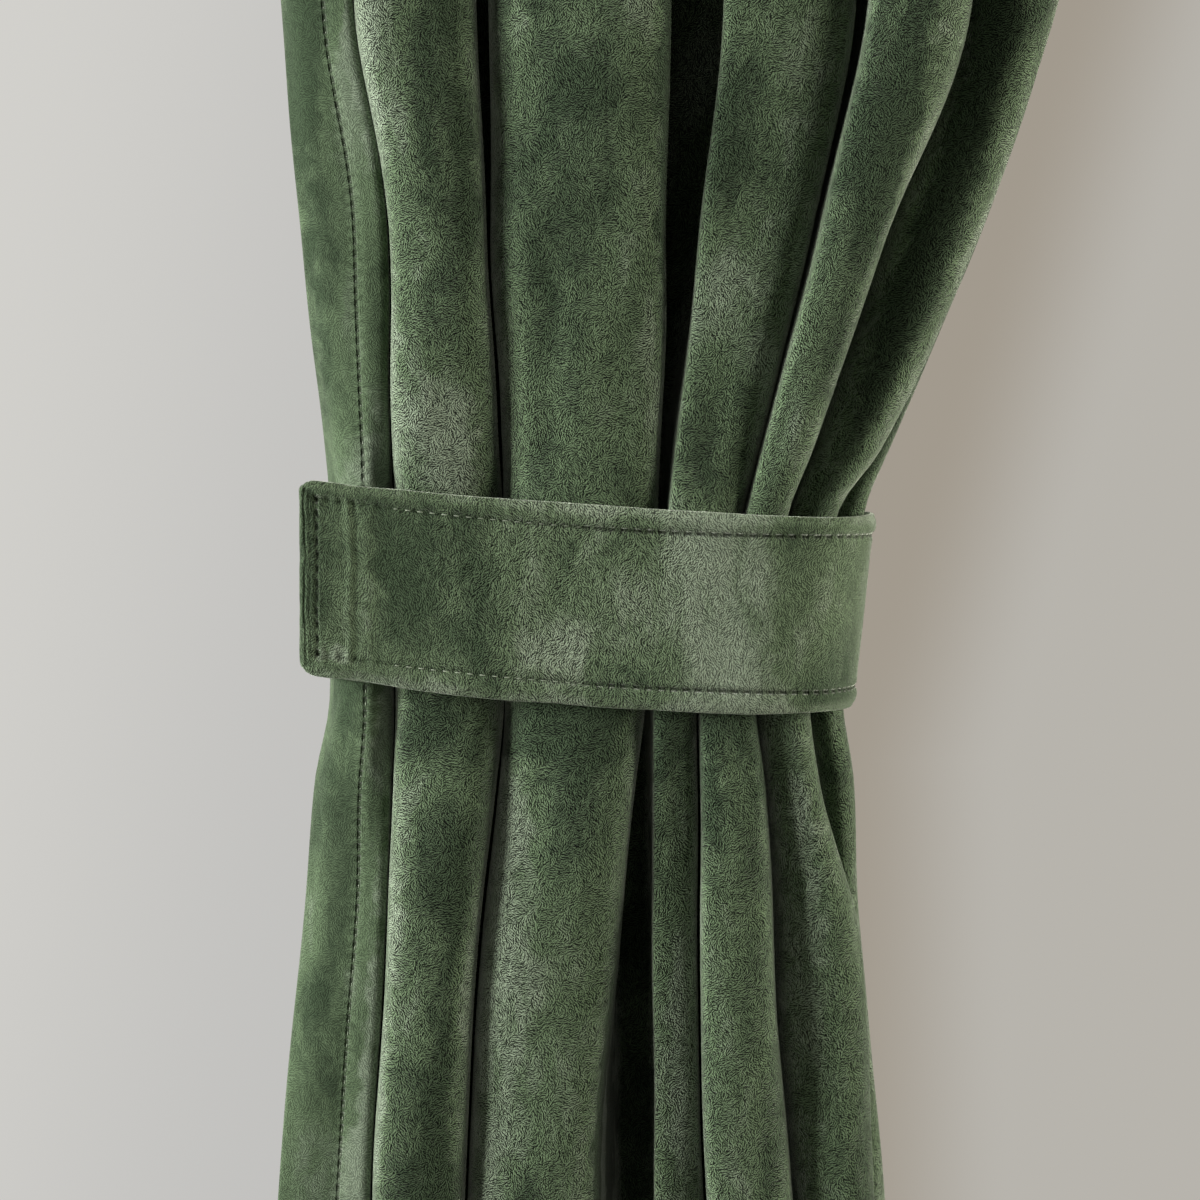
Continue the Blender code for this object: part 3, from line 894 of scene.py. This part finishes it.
def pile_group():
    """Short pile seen up close: fine strokes whose slant swings from place to place.

    Short waves lean by Lean, and slow clouds turn them by up to Swing to either side; small grains
    and wider clumps lie among them.  Height and Grain run from 0 to 1.
    """
    group, given, made = new_group(
        "Pile",
        [
            ("Cloth", "NodeSocketVector", None), ("Strokes per Metre", "NodeSocketFloat", 1080.0),
            ("Lean", "NodeSocketFloat", 0.0), ("Swing", "NodeSocketFloat", 1.0),
        ],
        [("Height", "NodeSocketFloat"), ("Grain", "NodeSocketFloat")],
    )
    sized = vector_maths(group, "SCALE", {0: given["Cloth"], "Scale": given["Strokes per Metre"]})
    slow = noise(group, stretched(group, sized, 20, (0.10, 0.07)), detail=2.0)
    swing = ramp(group, slow, 0.36, 0.64, -1.0, 1.0)
    slant = maths(group, "MULTIPLY_ADD", swing, given["Swing"], given["Lean"])
    inputs = {"Vector": sized, "Scale": 1.25, "Frequency": 0.86, "Anisotropy": 0.85}
    inputs["Orientation"] = slant
    strokes = add(group, "ShaderNodeTexGabor", inputs, gabor_type="2D").outputs["Value"]
    grains = noise(group, stretched(group, sized, 0, (1.6, 1.6)), detail=1.0)
    clumps = noise(group, stretched(group, sized, 12, (0.42, 0.30)), detail=2.0, roughness=0.6)
    height = blend(group, 0.26, strokes, grains)
    group.links.new(ramp(group, height, 0.34, 0.66), made["Height"])
    group.links.new(ramp(group, blend(group, 0.16, height, clumps), 0.425, 0.575), made["Grain"])
    return group


def nap_group():
    """Places where the pile has been brushed over: soft clouds, drawn out along the folds.

    Brushed runs from 0, pile that stands up, to 1, pile that lies over.
    """
    group, given, made = new_group(
        "Brushed Nap",
        [("Cloth", "NodeSocketVector", None), ("Patches per Metre", "NodeSocketFloat", 22.0)],
        [("Brushed", "NodeSocketFloat")],
    )
    sized = vector_maths(group, "SCALE", {0: given["Cloth"], "Scale": given["Patches per Metre"]})
    broad = noise(group, stretched(group, sized, 6, (1.0, 0.36)), 2.0, 0.5, 0.3)
    small = noise(group, stretched(group, sized, -8, (4.6, 2.2)), 4.0, 0.66, 0.5)
    both = blend(group, 0.30, broad, small)
    group.links.new(ramp(group, both, 0.25, 0.75), made["Brushed"])
    return group


def seam_group():
    """A row of stitches: Dimple is 1 in the hole of each stitch, Puff is 1 between two of them.

    Aside is the distance from the row, Along the distance along it.  Both bells fade away from the
    row; the dimple's is narrow, the puff's is wide.
    """
    group, given, made = new_group(
        "Stitched Seam",
        [
            ("Aside", "NodeSocketFloat", 0.0),
            ("Along", "NodeSocketFloat", 0.0),
            ("Pitch", "NodeSocketFloat", STITCH_LENGTH),
        ],
        [("Dimple", "NodeSocketFloat"), ("Puff", "NodeSocketFloat")],
    )
    turns = maths(group, "DIVIDE", given["Along"], given["Pitch"])
    share = maths(group, "ABSOLUTE", maths(group, "SUBTRACT", maths(group, "FRACT", turns), 0.5))
    off = maths(group, "ABSOLUTE", given["Aside"])
    near = ramp(group, off, 0.0003, 0.0011, 1.0, 0.0)
    wide = ramp(group, off, 0.0004, 0.0034, 1.0, 0.0)
    middle = ramp(group, share, 0.16, 0.36, 1.0, 0.0)
    between = maths(group, "SUBTRACT", 1.0, middle)
    group.links.new(maths(group, "MULTIPLY", near, blend(group, middle, 0.35, 1.0)), made["Dimple"])
    group.links.new(maths(group, "MULTIPLY", wide, between), made["Puff"])
    return group


def shared_groups():
    """The groups that several materials use, made once."""
    makers = {"Pile": pile_group, "Brushed Nap": nap_group, "Stitched Seam": seam_group}
    return {name: bpy.data.node_groups.get(name) or make() for name, make in makers.items()}


def cloth_coordinates(tree):
    """The piece's own place on the flat cloth, whole and split into across and up."""
    place = add(tree, "ShaderNodeUVMap", uv_map="cloth").outputs["UV"]
    parts = add(tree, "ShaderNodeSeparateXYZ", {"Vector": place})
    return place, parts.outputs["X"], parts.outputs["Y"]


def velvet(name, look, seams, sheen, lie):
    """Velvet: dull pile in three greens, brushed in clouds, with a soft sheen where it turns away.

    Pile that stands upright has less sheen.  `seams` lists rows of stitches as (aside, along,
    strength), made from the cloth's own coordinates.  `lie` gives patches of brushed or upright
    pile, which also hold painted shade and painted highlights, and how clearly the strokes show.
    The strokes, the clouds and the seams bend the surface too; the patches only change its tone,
    its roughness and its sheen.
    """
    groups = shared_groups()
    material, tree, shader = new_material(
        name, Specular_IOR_Level=0.07, Sheen_Roughness=0.36, Sheen_Tint=(0.79, 0.87, 0.75, 1.0)
    )
    place, across, up = cloth_coordinates(tree)
    inputs = {"Cloth": place, "Lean": look.pile_lean, "Swing": look.pile_swing}
    pile = add(tree, "ShaderNodeGroup", node_tree=groups["Pile"], inputs=inputs)
    nap = add(tree, "ShaderNodeGroup", node_tree=groups["Brushed Nap"], inputs={"Cloth": place})
    patches_and_painted_light, clear = lie(tree, place, across, up)
    # brushed sums the nap's clouds and the patches, so it also carries their painted shade and
    # highlights.
    brushed = maths(tree, "ADD", nap.outputs["Brushed"], patches_and_painted_light, clamp=True)
    dimple, puff = 0.0, 0.0
    for aside, along, strength in seams(tree, across, up):
        inputs = {"Aside": aside, "Along": along}
        seam = add(tree, "ShaderNodeGroup", node_tree=groups["Stitched Seam"], inputs=inputs)
        sunk = maths(tree, "MULTIPLY", seam.outputs["Dimple"], strength)
        raised = maths(tree, "MULTIPLY", seam.outputs["Puff"], strength)
        dimple = maths(tree, "MAXIMUM", dimple, sunk)
        puff = maths(tree, "MAXIMUM", puff, raised)
    # The tint runs from deep to middle to pale green with it: brushed pile, painted shade and
    # painted highlights.
    tint = blend(tree, ramp(tree, brushed, 0.0, 0.5), (*look.deep, 1), (*look.middle, 1), "RGBA")
    tint = blend(tree, ramp(tree, brushed, 0.45, 1.0), tint, (*look.pale, 1), "RGBA")
    speck = blend(tree, blend(tree, clear, 0.5, pile.outputs["Grain"]), 0.06, 2.04)
    # The dimple darkens the colour to under a third: painted shade in the holes of the stitches.
    shade = maths(tree, "MULTIPLY", speck, blend(tree, dimple, 1.0, 0.30))
    lit = vector_maths(tree, "SCALE", {0: tint, "Scale": shade})
    tree.links.new(lit, shader.inputs["Base Color"])
    tree.links.new(blend(tree, brushed, 0.95, 0.82), shader.inputs["Roughness"])
    strokes = maths(tree, "MULTIPLY", pile.outputs["Height"], clear)
    height = maths(tree, "MULTIPLY", strokes, 0.00025)
    height = maths(tree, "MULTIPLY_ADD", nap.outputs["Brushed"], 0.00025, height)
    height = maths(tree, "MULTIPLY_ADD", puff, 0.00045, height)
    bumped(tree, shader, maths(tree, "MULTIPLY_ADD", dimple, -0.00080, height))
    gloss = ramp(tree, brushed, 0.0, 0.16, 0.45 * sheen, sheen)
    tree.links.new(gloss, shader.inputs["Sheen Weight"])
    return material


def patches(tree, place, table):
    """Soft patches that lighten or darken the pile, summed up: pile brushed over or stroked
    upright, and on the drape also painted shade and painted highlights.

    Each patch is an oval bell: the distance from its middle, measured in its own half sizes,
    carried softly from its amount at the middle to nothing.  A slow cloud pushes the place about
    a little, so the outlines come out uneven.
    """
    inputs = {"Vector": place, "Scale": 110.0, "Detail": 2.0}
    cloud = add(tree, "ShaderNodeTexNoise", inputs, noise_dimensions="2D").outputs["Color"]
    push = vector_maths(tree, "SUBTRACT", {0: cloud, 1: (0.5, 0.5, 0.5)})
    moved = vector_maths(tree, "MULTIPLY_ADD", {0: push, 1: (0.012, 0.012, 0.0), 2: place})
    total = 0.0
    for across, up, half_width, half_height, amount in table:
        scale = (1 / (half_width * MM), 1 / (half_height * MM), 0.0)
        start = (-across / half_width, -up / half_height, 0.0)
        offset = vector_maths(tree, "MULTIPLY_ADD", {0: moved, 1: scale, 2: start})
        far = add(tree, "ShaderNodeVectorMath", {0: offset}, operation="LENGTH").outputs["Value"]
        total = maths(tree, "ADD", total, ramp(tree, far, 0.0, 1.45, amount, 0.0))
    return total


def hem_seams(cloth):
    """The drape's rows of stitches: beside each side hem, below the top and above the bottom."""

    def rows(tree, across, up):
        for place in (cloth.side_hem, cloth.width - cloth.side_hem):
            yield maths(tree, "SUBTRACT", across, place), up, 0.8
        for place in (-cloth.top_hem, cloth.bottom_hem - cloth.drop):
            yield maths(tree, "SUBTRACT", up, place), across, 1.0

    return rows


def woven_back(look):
    """The cloth's plain back: a close knit ground without pile."""
    material, tree, shader = new_material(
        "drape_back_weave", Specular_IOR_Level=0.2, Sheen_Weight=0.15
    )
    place, across, up = cloth_coordinates(tree)
    ribs = maths(tree, "SINE", maths(tree, "MULTIPLY", across, 2 * np.pi / 0.0011))
    courses = maths(tree, "SINE", maths(tree, "MULTIPLY", up, 2 * np.pi / 0.0009))
    knit = maths(tree, "MULTIPLY", ribs, courses)
    cloud = noise(tree, stretched(tree, place, 15, (28.0, 16.0)), detail=3.0)
    fuzz = noise(tree, stretched(tree, place, 0, (900.0, 900.0)), detail=2.0, distortion=0.8)
    dim = 0.8 * np.array(look.middle)
    tint = blend(tree, ramp(tree, cloud, 0.3, 0.7), (*dim, 1), (*look.pale, 1), "RGBA")
    shade = maths(tree, "MULTIPLY_ADD", knit, 0.14, blend(tree, fuzz, 0.65, 0.95))
    lit = vector_maths(tree, "SCALE", {0: tint, "Scale": shade})
    tree.links.new(lit, shader.inputs["Base Color"])
    tree.links.new(blend(tree, fuzz, 0.80, 0.95), shader.inputs["Roughness"])
    height = maths(tree, "MULTIPLY_ADD", knit, 0.00008, maths(tree, "MULTIPLY", fuzz, 0.00012))
    bumped(tree, shader, height)
    return material


def sewing_thread(thread):
    """Twisted sewing thread: fine slanting plies with a faint gloss."""
    known = bpy.data.materials.get("sewing_thread")
    if known:
        return known
    material, tree, shader = new_material("sewing_thread", Sheen_Weight=0.3)
    _, *parts = cloth_coordinates(tree)
    plies = maths(tree, "ADD", *(maths(tree, "MULTIPLY", part, 9000.0) for part in parts))
    twist = maths(tree, "MULTIPLY_ADD", maths(tree, "SINE", plies), 0.5, 0.5)
    tone = np.array(thread.colour)
    tint = blend(tree, twist, (*(0.6 * tone), 1), (*tone, 1), "RGBA")
    tree.links.new(tint, shader.inputs["Base Color"])
    tree.links.new(blend(tree, twist, 0.60, 0.42), shader.inputs["Roughness"])
    bumped(tree, shader, maths(tree, "MULTIPLY", twist, 0.00004))
    return material


# ---------------------------------------------------------------- the band


def band_middle(band):
    """The band's middle surface and its own coordinates.

    Gives the points, shape (levels, stations, 3), how far along the band each lies from the free
    end and how far up from its bottom edge.  Half the height shrinks to a quarter circle in each
    end's corners.  The right side leans in towards the bottom, and the whole band climbs to the
    left.  Past the stitches both edges are drawn in, and the left bend dips towards the back.
    """
    # Stations: round each end's corners, closely past the sewn patch, then about every 1.4 mm.
    line = smooth_line(np.array(BAND_PLAN)[None] * MM, [24] * (len(BAND_PLAN) - 1))[0]
    run = run_along(line, 0)
    full = run[-1]
    corner = band.corner * (1 - np.cos(np.linspace(0, np.pi / 2, 11)))
    fine = 26 * MM
    near = np.linspace(band.corner, fine, 46)[1:-1]
    inner = np.linspace(fine, full - band.corner, int(full / 1.4 / MM))[:-1]
    places = np.concatenate((corner, near, inner, full - corner[::-1]))
    x = np.interp(places, run, line[:, 0])
    y = np.interp(places, run, line[:, 1])
    into = np.clip(band.corner - np.minimum(places, full - places), 0, None)
    half = band.height / 2 - band.corner + np.sqrt(band.corner**2 - into**2)
    # Levels: closest together at the two long edges.
    level = -np.cos(np.linspace(np.pi * 0.06, np.pi * 0.94, 61)[::-1])
    level = (level / np.abs(level).max())[:, None]
    rise = level * half
    lean = np.clip(x / BAND_CONE_REACH, 0, 1) ** 2
    shift = x + BAND_CONE * lean * rise
    centre = BAND_CENTRE + BAND_TILT * x + BAND_SAG * x**2
    up = rise + band.height / 2
    place, top, bottom = np.array(BAND_EDGES).T * MM
    inset = band.seam_inset
    low, high = smooth_step(inset - up, 0, inset), smooth_step(up - band.height + inset, 0, inset)
    drawn = np.interp(places, place, bottom) * low - np.interp(places, place, top) * high
    dip = BAND_DIP * np.clip(y - y[0], 0, None) * smooth_step(-x, 40 * MM, 90 * MM)
    z = rise + drawn + centre - dip - TIE_DROP
    points = np.stack((shift + TIE_SIDE, np.broadcast_to(y, z.shape), z), axis=2)
    along = np.broadcast_to(places, z.shape)
    return points, along, up


def outline_distance(along, up, full, band):
    """How far each point of the band lies from its outline, with its rounded corners."""
    end, edge = np.minimum(along, full - along), np.minimum(up, band.height - up)
    to_end, to_edge = np.clip(band.corner - end, 0, None), np.clip(band.corner - edge, 0, None)
    rounded = band.corner - np.hypot(to_end, to_edge)
    return np.where(to_end * to_edge > 0, rounded, np.minimum(end, edge))


def bell(value, width):
    """1 at nought, falling softly to nothing a few widths away."""
    return np.exp(-((value / width) ** 2))


def band_relief(along, up, full, band):
    """How much the band's outer face stands above its plain thickness.

    Along both long edges a rolled welt swells as a half sine between the edge and the row of
    stitches, and a bell-shaped groove runs under the stitches.  The free end has a groove under its
    own stitches, soft ribs outside it and the ridge of the sewn patch inside.  The end that lies
    underneath stays flat.
    """
    edge = np.minimum(up, band.height - up)
    inset = band.seam_inset
    free = smooth_step(along, 1 * MM, 7 * MM)
    relief = band.roll * np.sin(np.pi * np.clip(edge / inset, 0, 1)) * free
    relief -= band.seam_sink * bell(edge - inset, 1.3 * MM) * free
    relief -= 0.25 * MM * smooth_step(edge, inset, inset + 8 * MM)
    puckers = np.cos(2 * np.pi * along / STITCH_LENGTH)
    relief -= 0.35 * band.seam_sink * puckers * bell(edge - inset, 2.2 * MM) * free
    start, end = band.patch_start, band.patch_end
    across = smooth_step(edge, inset - 1.5 * MM, inset + 0.5 * MM)
    wander = 0.35 * MM * np.sin(2 * np.pi * up / (37 * MM))
    wander += 0.2 * MM * np.sin(2 * np.pi * up / (14 * MM))
    holes = 0.5 - 0.5 * np.cos(2 * np.pi * (up - band.height) / END_STITCH_LENGTH)
    relief -= 0.80 * MM * bell(along - start - wander, 1.0 * MM) * across * holes
    ribs = np.cos(2 * np.pi * ((along - wander) / (1.8 * MM)))
    relief += 0.24 * MM * ribs * smooth_step(along, start + 0.4 * MM, start - 1.2 * MM)
    relief += 0.44 * MM * bell(along - end - wander + 0.8 * MM, 1.5 * MM) * across
    relief -= 0.22 * MM * bell(along - end - wander - 1.6 * MM, 1.2 * MM) * across
    relief += 0.34 * MM * bell(along - end - 6.2 * MM, 2.4 * MM) * across
    slow = np.sin(2 * np.pi * (along / (61 * MM) + up / (140 * MM)))
    slow = slow + 0.7 * np.sin(2 * np.pi * (along / (34 * MM) - up / (95 * MM) + 0.3))
    relief += 0.16 * MM * slow * smooth_step(edge, 0, inset)
    shown = smooth_step(full - along, 66 * MM, 74 * MM)
    return relief * shown - 0.3 * MM * (1 - shown)


class DRAPE_OT_cloth(Operator):
    """Build the drape: one sheet of velvet in its folds, with hems of double thickness"""

    bl_idname = "drape.cloth"
    bl_label = "Drape Cloth"

    def execute(self, context):
        """Offset the folded sheet to both sides, close it, and dress it."""
        cloth = context.scene.velvet_drape.cloth
        points, across, down = drape_cloth(cloth)
        out = facing(points)
        side = np.minimum(across, cloth.width - across)
        # How far each point lies inside the turned cloth, which ends 3 mm beyond its stitches.
        inside = (
            cloth.side_hem + 3 * MM - side,
            cloth.top_hem + 3 * MM - down,
            down - cloth.drop + cloth.bottom_hem + 3 * MM,
        )
        hemmed = np.maximum.reduce([smooth_step(depth, 0, 2 * MM) for depth in inside])
        aside = (side - cloth.side_hem, down - cloth.top_hem)
        seam = np.maximum(*(bell(distance, 1.8 * MM) for distance in aside))
        half = cloth.thickness / 2
        behind = half + (cloth.hem_thickness - cloth.thickness) * hemmed
        front = points + out * (half - cloth.seam_sink * seam)[..., None]
        back = points - out * (behind - cloth.seam_sink * 0.5 * seam)[..., None]
        item = closed_sheet("drape_cloth", front, back, across, down)
        item.data.materials.append(velvet("drape_pile_and_painted_light", cloth, hem_seams(cloth), 0.85, drape_pile_and_painted_light))
        item.data.materials.append(woven_back(cloth))
        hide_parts("drape")
        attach(item, BODY)
        return {"FINISHED"}


def drape_pile_and_painted_light(tree, place, across, up):
    """Where the drape's pile lies over or stands up, with painted shade and painted highlights
    among the patches, and how clearly its strokes show: faintly along the hem.
    """
    return patches(tree, place, CLOTH_PILE_AND_PAINTED_LIGHT_PATCHES), ramp(tree, across, 0.040, 0.120, 0.42, 1.0)


class DRAPE_OT_hem_stitches(Operator):
    """Sew the hems: one row of stitches beside each side hem, below the top and above the bottom"""

    bl_idname = "drape.hem_stitches"
    bl_label = "Hem Stitches"

    def execute(self, context):
        """Follow the cloth at each seam and lay stitches on its front and back."""
        settings = context.scene.velvet_drape
        cloth, thread = settings.cloth, settings.thread
        points, across, down = drape_cloth(cloth)
        out = facing(points)
        upright = points, out, across
        level = points.transpose(1, 0, 2), out.transpose(1, 0, 2), down.T
        seams = [(*upright, place) for place in (cloth.side_hem, cloth.width - cloth.side_hem)]
        seams += [(*level, place) for place in (cloth.top_hem, cloth.drop - cloth.bottom_hem)]
        rows = []
        sunk = cloth.thickness / 2 - cloth.seam_sink
        for grid, ways, measure, place in seams:
            path, direction = at_value(grid, measure, place), at_value(ways, measure, place)
            lift = np.zeros(len(path))
            rows.append((path + direction * sunk, direction, lift))
            rows.append((path - direction * (sunk + 1.0 * MM), -direction, lift))
        item = thread_stitches("hem_stitches", rows, thread)
        item.data.materials.append(sewing_thread(thread))
        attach(item, BODY)
        return {"FINISHED"}


def at_value(points, measure, value):
    """Where each row of a grid reaches a value of a measure that grows along the row."""
    after = np.clip((measure < value).sum(axis=1), 1, measure.shape[1] - 1)
    row = np.arange(len(measure))
    low, high = measure[row, after - 1], measure[row, after]
    share = ((value - low) / (high - low))[:, None]
    return points[row, after - 1] * (1 - share) + points[row, after] * share


class DRAPE_OT_tieback(Operator):
    """Build the tieback: a doubled band with rolled edges and a sewn free end"""

    bl_idname = "drape.tieback"
    bl_label = "Tieback"

    def execute(self, context):
        """Offset the band's middle surface, add its relief outside, and close it."""
        band = context.scene.velvet_drape.tieback
        points, along, up = band_middle(band)
        out = facing(points)
        full = along.max()
        half = band.thickness / 2
        relief = band_relief(along, up, full, band)
        thin = 0.35 * MM * (1 - smooth_step(outline_distance(along, up, full, band), 0, 1.6 * MM))
        front = points + out * (half + relief - thin)[..., None]
        back = points - out * (half - thin)[..., None]
        item = closed_sheet("tieback_band", front, back, along, band.height - up, rings=5)
        pile = velvet("tieback_pile", band, band_seams(band), 0.75, band_pile_and_highlight(band))
        for _ in ("outside", "inside"):
            item.data.materials.append(pile)
        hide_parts("tieback")
        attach(item, BODY)
        return {"FINISHED"}


def band_seams(band):
    """The band's rows of stitches: one inside each long edge, and one across the free end.

    The long rows pull in harder further from the free end, where the pile hides them.  The stitches
    across the end are longer, so the distance along them is shortened.
    """

    def rows(tree, along, up):
        firm = ramp(tree, along, 0.070, 0.135, 0.22, 1.0)
        firm = maths(tree, "MULTIPLY", firm, ramp(tree, along, 0.004, 0.006))
        for place in (-band.seam_inset, band.seam_inset - band.height):
            yield maths(tree, "SUBTRACT", up, place), along, firm
        half = band.height / 2
        middle = maths(tree, "ABSOLUTE", maths(tree, "ADD", up, half))
        inside = ramp(tree, middle, half - band.seam_inset, half - 0.006, 1.0, 0.0)
        aside = maths(tree, "SUBTRACT", along, band.patch_start)
        yield aside, maths(tree, "MULTIPLY", up, 0.9), maths(tree, "MULTIPLY", inside, 0.8)

    return rows


def band_pile_and_highlight(band):
    """Where the band's pile lies over, and how clearly its strokes show.

    Its rolled edges are paler, partly brushed pile and partly a painted highlight where they catch
    the light, and past the bend it is a little darker.  The strokes are fainter near the free end
    and towards the bend.
    """

    def lie(tree, place, along, up):
        below_top = maths(tree, "MULTIPLY", up, -1.0)
        edge = maths(tree, "MINIMUM", below_top, maths(tree, "ADD", up, band.height))
        total = patches(tree, place, BAND_PATCHES)
        # Paler rolled edges, brushed pile and a painted highlight; then two steps of tone along the
        # band.
        for measure, span in (
            (edge, (0.0002, 0.0046, 0.26, 0.0)),
            (along, (0.060, 0.110, -0.16, 0.12)),
            (along, (0.178, 0.188, 0.0, -0.12)),
        ):
            total = maths(tree, "ADD", total, ramp(tree, measure, *span))
        clear = ramp(tree, along, 0.020, 0.080, 0.70, 1.0)
        return total, maths(tree, "MULTIPLY", clear, ramp(tree, along, 0.130, 0.165, 1.0, 0.72))

    return lie


class DRAPE_OT_tieback_stitches(Operator):
    """Sew the tieback: a row of stitches inside each long edge and one across the free end.

    The thread shows best a little way from the free end; elsewhere it sinks into the pile.
    """

    bl_idname = "drape.tieback_stitches"
    bl_label = "Tieback Stitches"

    def execute(self, context):
        """Follow the band at each seam and lay stitches on its outer face."""
        settings = context.scene.velvet_drape
        band, thread = settings.tieback, settings.thread
        points, along, up = band_middle(band)
        full = along.max()
        out = facing(points)
        top = band.thickness / 2 + band_relief(along, up, full, band)
        face = points + out * top[..., None]
        shown = along[0] < full - 80 * MM
        rows = []
        for place in (band.seam_inset, band.height - band.seam_inset):
            keep = shown & (along[0] > band.patch_start)
            path = level_path(face, up, place)
            direction = level_path(out, up, place)
            near = smooth_step(along[0], 33 * MM, 38 * MM)
            far = smooth_step(along[0], 98 * MM, 122 * MM)
            lift = (0.85 * near * (1 - far) - 0.55) * MM
            rows.append((path[keep], direction[keep], lift[keep]))
        height = up[:, along.shape[1] // 2]
        level = (height > band.seam_inset) & (height < band.height - band.seam_inset)
        path = at_value(face, along, band.patch_start)[level]
        direction = at_value(out, along, band.patch_start)[level]
        rows.append((path, direction, np.full(len(path), -0.70 * MM)))
        item = thread_stitches("tieback_stitches", rows, thread)
        item.data.materials.append(sewing_thread(thread))
        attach(item, BODY)
        return {"FINISHED"}


def level_path(grid, up, place):
    """Where each station of the band crosses a height above its bottom edge."""
    return at_value(grid[::-1].transpose(1, 0, 2), up[::-1].T, place)


class DRAPE_OT_stage(Operator):
    """Set the stage: a pale floor, four soft lamps, plain surroundings and the camera"""

    bl_idname = "drape.stage"
    bl_label = "Stage"

    def execute(self, context):
        """Make the floor, the lamps, the surrounding light and the camera."""
        stage = context.scene.velvet_drape.stage
        half = stage.floor_size / 2
        side = np.linspace(-half, half, 9)
        x, y = np.meshgrid(side, side)
        z = np.full_like(x, SOLID_BOX[0][2] - stage.floor_gap)
        points = np.stack((x, -y, z), axis=2).reshape(-1, 3)
        floor = put_mesh("floor", points, grid_faces(9, 9), points[:, :2])
        floor.data.materials.append(floor_paint(stage))
        # Lamps and camera look at the middle of the band's front.
        aim = np.array((TIE_SIDE, -0.048, -TIE_DROP - 0.0012))
        for row in LAMPS:
            lamp(aim, *row)
        surround(context.scene)
        back = np.array((0.0, -np.cos(stage.elevation), np.sin(stage.elevation)))
        data = bpy.data.cameras.new("camera")
        data.lens = stage.lens
        data.sensor_width = 36.0
        camera = bpy.data.objects.new("camera", data)
        camera.location = aim + back * stage.distance
        camera.rotation_euler = (np.pi / 2 - stage.elevation, 0.0, 0.0)
        context.scene.collection.objects.link(camera)
        context.scene.camera = camera
        context.scene.view_settings.view_transform = "Standard"
        return {"FINISHED"}


def floor_paint(stage):
    """A plain pale floor with a faint cloudiness."""
    material, tree, shader = new_material("floor_paint", Roughness=0.8)
    place = add(tree, "ShaderNodeTexCoord").outputs["Object"]
    cloud = noise(tree, stretched(tree, place, 0, (3.0, 3.0)), detail=3.0)
    tone = np.array(stage.floor)
    tint = blend(tree, cloud, (*(0.95 * tone), 1), (*tone, 1), "RGBA")
    tree.links.new(tint, shader.inputs["Base Color"])
    return material


def lamp(aim, name, place, size, power, tint):
    """A square soft lamp that looks at the band."""
    data = bpy.data.lights.new(name, "AREA")
    data.shape = "SQUARE"
    data.size = size
    data.energy = power
    data.spread = np.radians(110)
    data.color = tint
    item = bpy.data.objects.new(name, data)
    way = np.asarray(aim) - np.asarray(place)
    way = way / np.linalg.norm(way)
    item.location = place
    item.rotation_euler = (np.arccos(-way[2]), 0.0, np.arctan2(way[1], way[0]) - np.pi / 2)
    bpy.context.scene.collection.objects.link(item)


def surround(scene):
    """Plain pale surroundings that light the cloth only softly.

    They carry painted light, palest far left and above.  On the right they rise from a painted
    shadow beside the cloth to a paler tone, across a line that leans outwards towards the top.
    """
    world = bpy.data.worlds.new("surroundings")
    world.use_nodes = True
    tree = world.node_tree
    place = add(tree, "ShaderNodeTexCoord").outputs["Generated"]
    parts = add(tree, "ShaderNodeSeparateXYZ", {"Vector": place}).outputs
    rise = maths(tree, "MAXIMUM", maths(tree, "ADD", parts["Z"], 0.10), 0.0)
    beside = maths(tree, "MULTIPLY_ADD", rise, -0.29, parts["X"])
    shade, pale = (0.361, 0.323, 0.270, 1), (0.475, 0.456, 0.417, 1)
    right = blend(tree, ramp(tree, beside, 0.072, 0.122), shade, pale, "RGBA")
    fall = maths(tree, "MULTIPLY_ADD", parts["Z"], -0.16, parts["X"])
    palest, plain = (0.648, 0.638, 0.608, 1), (0.540, 0.535, 0.520, 1)
    left = blend(tree, ramp(tree, fall, -0.21, -0.05), palest, plain, "RGBA")
    tint = blend(tree, ramp(tree, parts["X"], -0.08, 0.07), left, right, "RGBA")
    seen = add(tree, "ShaderNodeLightPath").outputs["Is Camera Ray"]
    background = tree.nodes["Background"]
    tree.links.new(tint, background.inputs["Color"])
    tree.links.new(blend(tree, seen, 0.085, 1.0), background.inputs["Strength"])
    scene.world = world


# ---------------------------------------------------------------- panel and start


STEPS = (
    DRAPE_OT_stage,
    DRAPE_OT_cloth,
    DRAPE_OT_hem_stitches,
    DRAPE_OT_tieback,
    DRAPE_OT_tieback_stitches,
)


class DRAPE_PT_sidebar(Panel):
    """Lists the settings and the operators"""

    bl_idname = "DRAPE_PT_sidebar"
    bl_label = "Velvet Drape"
    bl_space_type = "VIEW_3D"
    bl_region_type = "UI"
    bl_category = "Drape"

    def draw(self, context):
        """One button for each operator, then a box for each group of settings."""
        for step in STEPS:
            self.layout.operator(step.bl_idname)
        settings = context.scene.velvet_drape
        for group in (settings.cloth, settings.tieback, settings.thread, settings.stage):
            box = self.layout.box()
            box.label(text=type(group).__doc__)
            for name in type(group).__annotations__:
                box.prop(group, name)


SETTINGS = (ClothSettings, TiebackSettings, ThreadSettings, StageSettings, DrapeSettings)
CLASSES = (*SETTINGS, *STEPS, DRAPE_PT_sidebar)


def register():
    """Register the classes and keep the settings on the scene."""
    for item in CLASSES:
        bpy.utils.register_class(item)
    bpy.types.Scene.velvet_drape = PointerProperty(type=DrapeSettings)


def unregister():
    """Undo register."""
    del bpy.types.Scene.velvet_drape
    for item in reversed(CLASSES):
        bpy.utils.unregister_class(item)


def main():
    """Register, then run every operator in order."""
    register()
    bpy.ops.drape.stage()
    bpy.ops.drape.cloth()
    bpy.ops.drape.hem_stitches()
    bpy.ops.drape.tieback()
    bpy.ops.drape.tieback_stitches()


if __name__ == "__main__":
    main()
